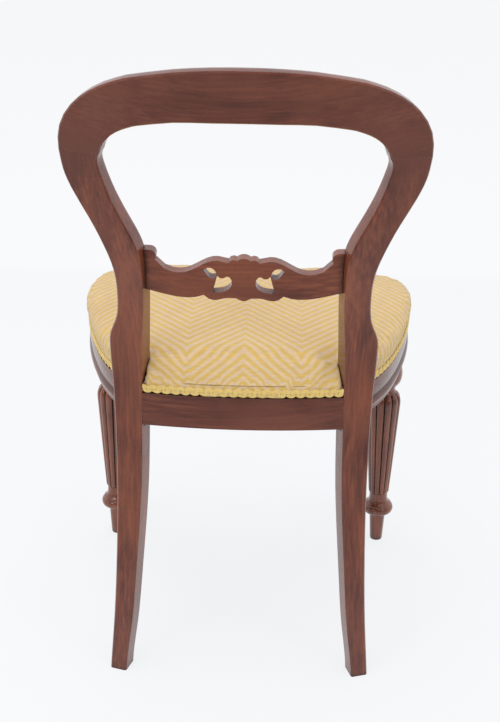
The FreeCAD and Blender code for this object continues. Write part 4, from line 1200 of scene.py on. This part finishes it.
    def build(self) -> None:
        """Makes the cushion and takes over from the frame's cover and stuffing."""
        piece = self.shell()
        remesh = piece.modifiers.new("even", "REMESH")
        remesh.mode = "VOXEL"
        remesh.voxel_size = self.voxel
        Bench.settle(piece)
        self.fill(piece)
        finer = piece.modifiers.new("finer", "SUBSURF")
        finer.levels = finer.render_levels = 1
        Bench.settle(piece)
        self.clear_posts(piece)
        self.cloth_map(piece)
        for polygon in piece.data.polygons:
            polygon.use_smooth = True
        Bench.dressed(piece, self.finishes.chevron)
        spots = [v.co for v in piece.data.vertices]
        LOG.info("seat_cushion reaches x %.4f, y %.4f to %.4f, z %.4f", max(c.x for c in spots),
                 min(c.y for c in spots), max(c.y for c in spots), max(c.z for c in spots))
        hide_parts("seat_cover", "seat_stuffing")
        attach(piece, BODY)
        LOG.info("%s: %d faces", piece.name, len(piece.data.polygons))


@dataclass
class GimpBraid:
    """The scrolled gimp that covers the tacked edge of the cloth.

    Each of its two cords has its threads beside the middle, their gap in radii, where in the scroll it
    starts, the room it leaves above and below, and how far it stands out.
    """

    finishes: Finishes
    plan: SeatPlan
    repeat: float = 0.0126
    tall: float = 0.0128
    thread: float = 0.00072
    lean: float = 0.11
    inset: float = 0.0012
    roll: float = 0.0009
    roll_lead: float = 0.6
    rounding: float = 0.000066
    middle: float = SHOW_TOP + 0.0068

    CORDS = (
        ((-2, -1, 0, 1, 2), 1.72, 0.0, 0.0032, 0.0008),
        ((-1, 0, 1), 1.8, 0.5, 0.0042, -0.0002),
    )

    def strand(self, path: Callable[[float], tuple[Vector, Vector]], length: float, off: float, phase: float,
               swing: float, proud: float) -> list[Point]:
        """One thread of the scroll.

        Args:
            path: The place and outward direction at a distance along the gimp.
            length: The gimp's length.
            off: How far the thread lies beside the middle of its cord.
            phase: Where in the scroll the thread starts, as a share of a repeat.
            swing: How high the cord's middle swings.
            proud: How far the thread stands out.

        Returns:
            The thread's points.
        """
        count = round(length / self.repeat)
        pace = length / count
        points: list[Point] = []
        steps = 18
        for k in range(count * steps + 1):
            t = k / steps
            turn = math.tau * (t + phase)
            u = pace * t + self.lean * pace * math.sin(2 * turn)
            v = swing * math.cos(turn)
            du = pace + 2 * math.tau * self.lean * pace * math.cos(2 * turn)
            dv = -math.tau * swing * math.sin(turn)
            size = math.hypot(du, dv)
            u += -dv / size * off
            v += du / size * off
            spot, out = path(min(max(u, 0.0), length))
            lift = proud + self.roll * math.sin(turn + self.roll_lead)
            lift -= self.rounding * (off / self.thread) ** 2
            points.append(tuple(spot + out * (lift - self.inset) + Vector((0, 0, self.middle + v))))
        return points

    def lay(self, name: str, line: Sequence[tuple[Vector, Vector]], node: str) -> None:
        """Lays the braid along a line and takes over from a frame node.

        Args:
            name: The new piece's name.
            line: Points with outward directions.
            node: The frame node that the braid stands for.
        """
        reach = [0.0]
        for (a, _), (b, _) in zip(line, line[1:]):
            reach.append(reach[-1] + (b - a).length)

        def path(distance: float) -> tuple[Vector, Vector]:
            """The place and outward direction at a distance.

            Args:
                distance: How far along the gimp.

            Returns:
                The place and the direction.
            """
            k = 0
            while k < len(reach) - 2 and reach[k + 1] < distance:
                k += 1
            share = (distance - reach[k]) / max(reach[k + 1] - reach[k], 1e-9)
            return line[k][0].lerp(line[k + 1][0], share), line[k][1].lerp(line[k + 1][1], share).normalized()

        length = reach[-1]
        lines = [self.strand(path, length, off * self.thread * gap, phase, self.tall / 2 - room, proud)
                 for beside, gap, phase, room, proud in self.CORDS for off in beside]
        piece = Bench.threads(name, lines, self.thread)
        Bench.smooth(piece, 80)
        Bench.dressed(piece, self.finishes.gimp)
        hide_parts(node)
        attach(piece, BODY)
        LOG.info("%s: %d faces", piece.name, len(piece.data.polygons))

    def build(self) -> None:
        """Makes the front and the rear lengths."""
        self.lay("gimp_front_braid", self.plan.round_front(0.004)[1:-1], "gimp_front")
        self.lay("gimp_rear_braid", self.plan.rear(0.1332, 0.004), "gimp_rear")


@dataclass
class Underside:
    """The webbing, the hessian and the black cloth with its tacks."""

    nodes: dict[str, bpy.types.Object]
    finishes: Finishes
    plan: SeatPlan
    cloth: float = 0.0008
    leg_room: float = 0.028
    edge_step: float = 0.012
    tack_gap: float = 0.028

    def webbing(self, node: str) -> None:
        """Makes one set of woven straps from its frame node.

        Args:
            node: The frame node.
        """
        piece = Bench.copied(self.nodes[node], f"{node}_straps")
        soften = piece.modifiers.new("edges", "BEVEL")
        soften.width = 0.0004
        soften.segments = 2
        soften.limit_method = "ANGLE"
        soften.angle_limit = math.radians(50)
        Bench.settle(piece)
        Bench.smooth(piece, 40)
        Bench.dressed(piece, self.finishes.jute)
        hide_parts(node)
        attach(piece, BODY)

    def sheet(self, name: str, node: str, outline: list[Vector], height: float, sag: float,
              material: bpy.types.Material) -> None:
        """Makes a stretched cloth from its outline.

        Args:
            name: The new piece's name.
            node: The frame node that it stands for.
            outline: Its cut edge.
            height: The height of its underside.
            sag: How far its middle hangs.
            material: Its finish.
        """
        centre = Vector((0, SEAT_MIDDLE, 0))
        rings = []
        for inward in (1.0, 0.985, 0.93, 0.85, 0.72, 0.56, 0.38, 0.18, 0.06):
            low = sag * (1 - inward ** 2) ** 2
            drop = Vector((0, 0, height - low))
            rings.append([tuple(centre + (p - centre) * inward + drop) for p in outline])
        piece = Bench.drawn(name, rings, ends=(False, True))
        thick = piece.modifiers.new("cloth", "SOLIDIFY")
        thick.thickness = self.cloth
        thick.offset = 1.0
        if sum(p.normal.z for p in piece.data.polygons) < 0:
            piece.data.flip_normals()
        Bench.settle(piece)
        Bench.smooth(piece, 40)
        Bench.dressed(piece, material)
        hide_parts(node)
        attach(piece, BODY)

    def dust_outline(self) -> list[Vector]:
        """The black cloth's edge, notched round the front legs and the posts.

        Returns:
            The edge's points in order.
        """
        stop = self.plan.leg_x - self.leg_room
        front = -self.plan.leg_y + self.leg_room

        def hidden(spot: Vector) -> bool:
            """Whether a place lies over a front leg."""
            return abs(spot.x) > stop and spot.y < front

        line: list[Vector] = []
        outline = self.plan.whole(self.edge_step, 0.955)
        for p, q in zip(outline, outline[1:] + outline[:1]):
            if not hidden(p):
                line.append(p)
            if hidden(p) != hidden(q):
                if abs(p.y - q.y) > abs(p.x - q.x):
                    t = (front - p.y) / (q.y - p.y)
                else:
                    t = (math.copysign(stop, p.x) - p.x) / (q.x - p.x)
                line.append(p.lerp(q, min(max(t, 0), 1)))
                line.append(Vector((math.copysign(stop, p.x), front, 0)))
        return [p for k, p in enumerate(line) if not k or (p - line[k - 1]).length > 1e-5]

    def tacks(self) -> None:
        """The small domed tacks that hold the black cloth."""
        heads = []
        line = self.plan.round_front(self.tack_gap)
        spots = [p * 0.92 for p, _ in line if abs(p.x) < 0.18 or p.y > -0.165]
        spots += [p * 0.945 for p, _ in self.plan.rear(0.105, self.tack_gap)]
        for p in spots:
            seat = (p.x, p.y, RAIL_BOTTOM - self.cloth)
            Bench.clear()
            bpy.ops.mesh.primitive_uv_sphere_add(segments=12, ring_count=8, radius=0.0026, location=seat)
            head = bpy.context.object
            bpy.ops.object.mode_set(mode="EDIT")
            bpy.ops.mesh.select_all(action="SELECT")
            bpy.ops.transform.resize(value=(1, 1, 0.42), center_override=seat)
            bpy.ops.object.mode_set(mode="OBJECT")
            bpy.ops.object.transform_apply(location=True, rotation=True, scale=True)
            heads.append(head)
        whole = Bench.joined("dust_cover_tacks", heads)
        Bench.smooth(whole, 60)
        Bench.dressed(whole, self.finishes.steel)
        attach(whole, BODY)

    def build(self) -> None:
        """Makes everything under the seat."""
        self.webbing("webbing_lengthwise")
        self.webbing("webbing_crosswise")
        self.sheet("hessian_sheet", "hessian", self.plan.whole(self.edge_step, 0.962), RAIL_TOP + 0.0033, 0.0,
                   self.finishes.hessian)
        self.sheet("dust_cover_sheet", "dust_cover", self.dust_outline(), RAIL_BOTTOM - self.cloth, 0.003,
                   self.finishes.black)
        self.tacks()


@dataclass
class Studio:
    """The pale room, its soft light and the camera."""

    place: Point = (-0.0461, 1.8046, 1.2107)
    pitch: float = 24.023
    yaw: float = -1.283
    roll: float = 0.865
    lens: float = 69.33

    def camera(self) -> None:
        """Stands the camera where the photograph was taken."""
        pitch, yaw, roll = (math.radians(a) for a in (self.pitch, self.yaw, self.roll))
        back = Vector((math.sin(yaw) * math.cos(pitch), math.cos(yaw) * math.cos(pitch), math.sin(pitch)))
        right = (-back).cross(Vector((0, 0, 1))).normalized()
        up = right.cross(-back)
        level = right * math.cos(roll) + up * math.sin(roll)
        top = up * math.cos(roll) - right * math.sin(roll)
        data = bpy.data.cameras.new("camera")
        data.lens = self.lens
        data.sensor_width = 36
        data.sensor_fit = "AUTO"
        data.clip_start = 0.05
        camera = bpy.data.objects.new("camera", data)
        camera.matrix_world = Matrix((
            (level.x, top.x, back.x, self.place[0]), (level.y, top.y, back.y, self.place[1]),
            (level.z, top.z, back.z, self.place[2]), (0, 0, 0, 1)))
        bpy.context.scene.collection.objects.link(camera)
        bpy.context.scene.camera = camera

    def lamp(self, name: str, place: Point, aim: Point, size: float, power: float, tint: Point) -> None:
        """Hangs a large square lamp.

        Args:
            name: The lamp's name.
            place: Where it hangs.
            aim: Where it points.
            size: Its side.
            power: Its power in watts.
            tint: Its colour.
        """
        data = bpy.data.lights.new(name, "AREA")
        data.shape = "SQUARE"
        data.size = size
        data.energy = power
        data.color = tint
        lamp = bpy.data.objects.new(name, data)
        lamp.location = place
        lamp.rotation_euler = (Vector(aim) - Vector(place)).to_track_quat("-Z", "Y").to_euler()
        bpy.context.scene.collection.objects.link(lamp)

    def world(self) -> None:
        """A white room that the camera and the gloss see."""
        world = bpy.data.worlds.new("room")
        world.use_nodes = True
        bpy.context.scene.world = world
        w = Wiring(world.node_tree)
        path = w.add("LightPath")
        way = w.part(w.add("TexCoord").outputs["Generated"], "Y")
        room = w.fed("Background", {"Color": (1, 1, 1, 1), "Strength": 0.66})
        sheen = w.fed("Background", {
            "Color": (0.96, 0.965, 1.0, 1), "Strength": w.spread(way, -0.25, 0.85, 1.0, 0.2)})
        view = w.fed("Background", {"Color": (0.955, 0.96, 0.975, 1), "Strength": 1.0})
        shiny = w.fed("MixShader", {
            0: path.outputs["Is Glossy Ray"], 1: room.outputs[0], 2: sheen.outputs[0]})
        seen = w.sum("MAXIMUM", path.outputs["Is Camera Ray"], path.outputs["Is Transmission Ray"])
        w.close(w.fed("MixShader", {0: seen, 1: shiny.outputs[0], 2: view.outputs[0]}), "OutputWorld")

    def floor(self) -> None:
        """A pale floor that keeps the chair's shadow."""
        Bench.clear()
        bpy.ops.mesh.primitive_plane_add(size=14)
        floor = bpy.context.object
        floor.name = "floor"
        made, w = new_material("pale_floor")
        shader = w.fed("BsdfPrincipled", {
            "Base Color": (0.90, 0.93, 0.945, 1), "Roughness": 0.75, "Specular IOR Level": 0.2})
        path = w.add("LightPath")
        spot = w.part(w.add("TexCoord").outputs["Object"], "Y")
        far = w.spread(spot, -1.5, -1.4, 1.0, 0.0)
        gloss = w.times(path.outputs["Is Glossy Ray"], w.spread(spot, 0.1, 1.3, 0.92, 0.22))
        glow = w.fed("Emission", {
            "Color": w.mix(far, (0.945, 0.955, 0.975, 1), (0.985, 0.985, 1.0, 1)),
            "Strength": w.sum("ADD", path.outputs["Is Camera Ray"], gloss)})
        seen = w.sum("MAXIMUM", path.outputs["Is Camera Ray"], path.outputs["Is Glossy Ray"])
        seen = w.sum("MAXIMUM", seen, path.outputs["Is Transmission Ray"])
        w.close(w.fed("MixShader", {0: w.times(seen, 0.84), 1: shader.outputs[0], 2: glow.outputs[0]}))
        Bench.dressed(floor, made)

    def build(self) -> None:
        """Sets up the room, the lamps, the camera and the picture's colours."""
        self.world()
        self.floor()
        self.lamp("ceiling", (0.3, 0.2, 3.0), (0, 0, 0.4), 1.8, 30, (1, 1, 1))
        self.lamp("window_left", (1.9, 2.3, 2.1), (0, 0, 0.5), 0.9, 14, (1, 0.99, 0.97))
        self.lamp("window_right", (-2.1, 2.0, 1.9), (0, 0, 0.5), 0.9, 10, (0.98, 0.99, 1))
        self.camera()
        bpy.context.scene.view_settings.view_transform = "Standard"


def main() -> None:
    """Builds the chair's looks in order."""
    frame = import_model()
    nodes = frame["nodes"]
    plan = SeatPlan()
    finishes = Finishes()
    ShowWood(nodes, finishes).build()
    legs = FrontLegs(nodes, finishes, plan)
    for side in ("left", "right"):
        legs.build(side)
    SeatCushion(finishes, plan).build()
    GimpBraid(finishes, plan).build()
    Underside(nodes, finishes, plan).build()
    Studio().build()


if __name__ == "__main__":
    logging.basicConfig(level=logging.INFO, format="%(message)s")
    main()
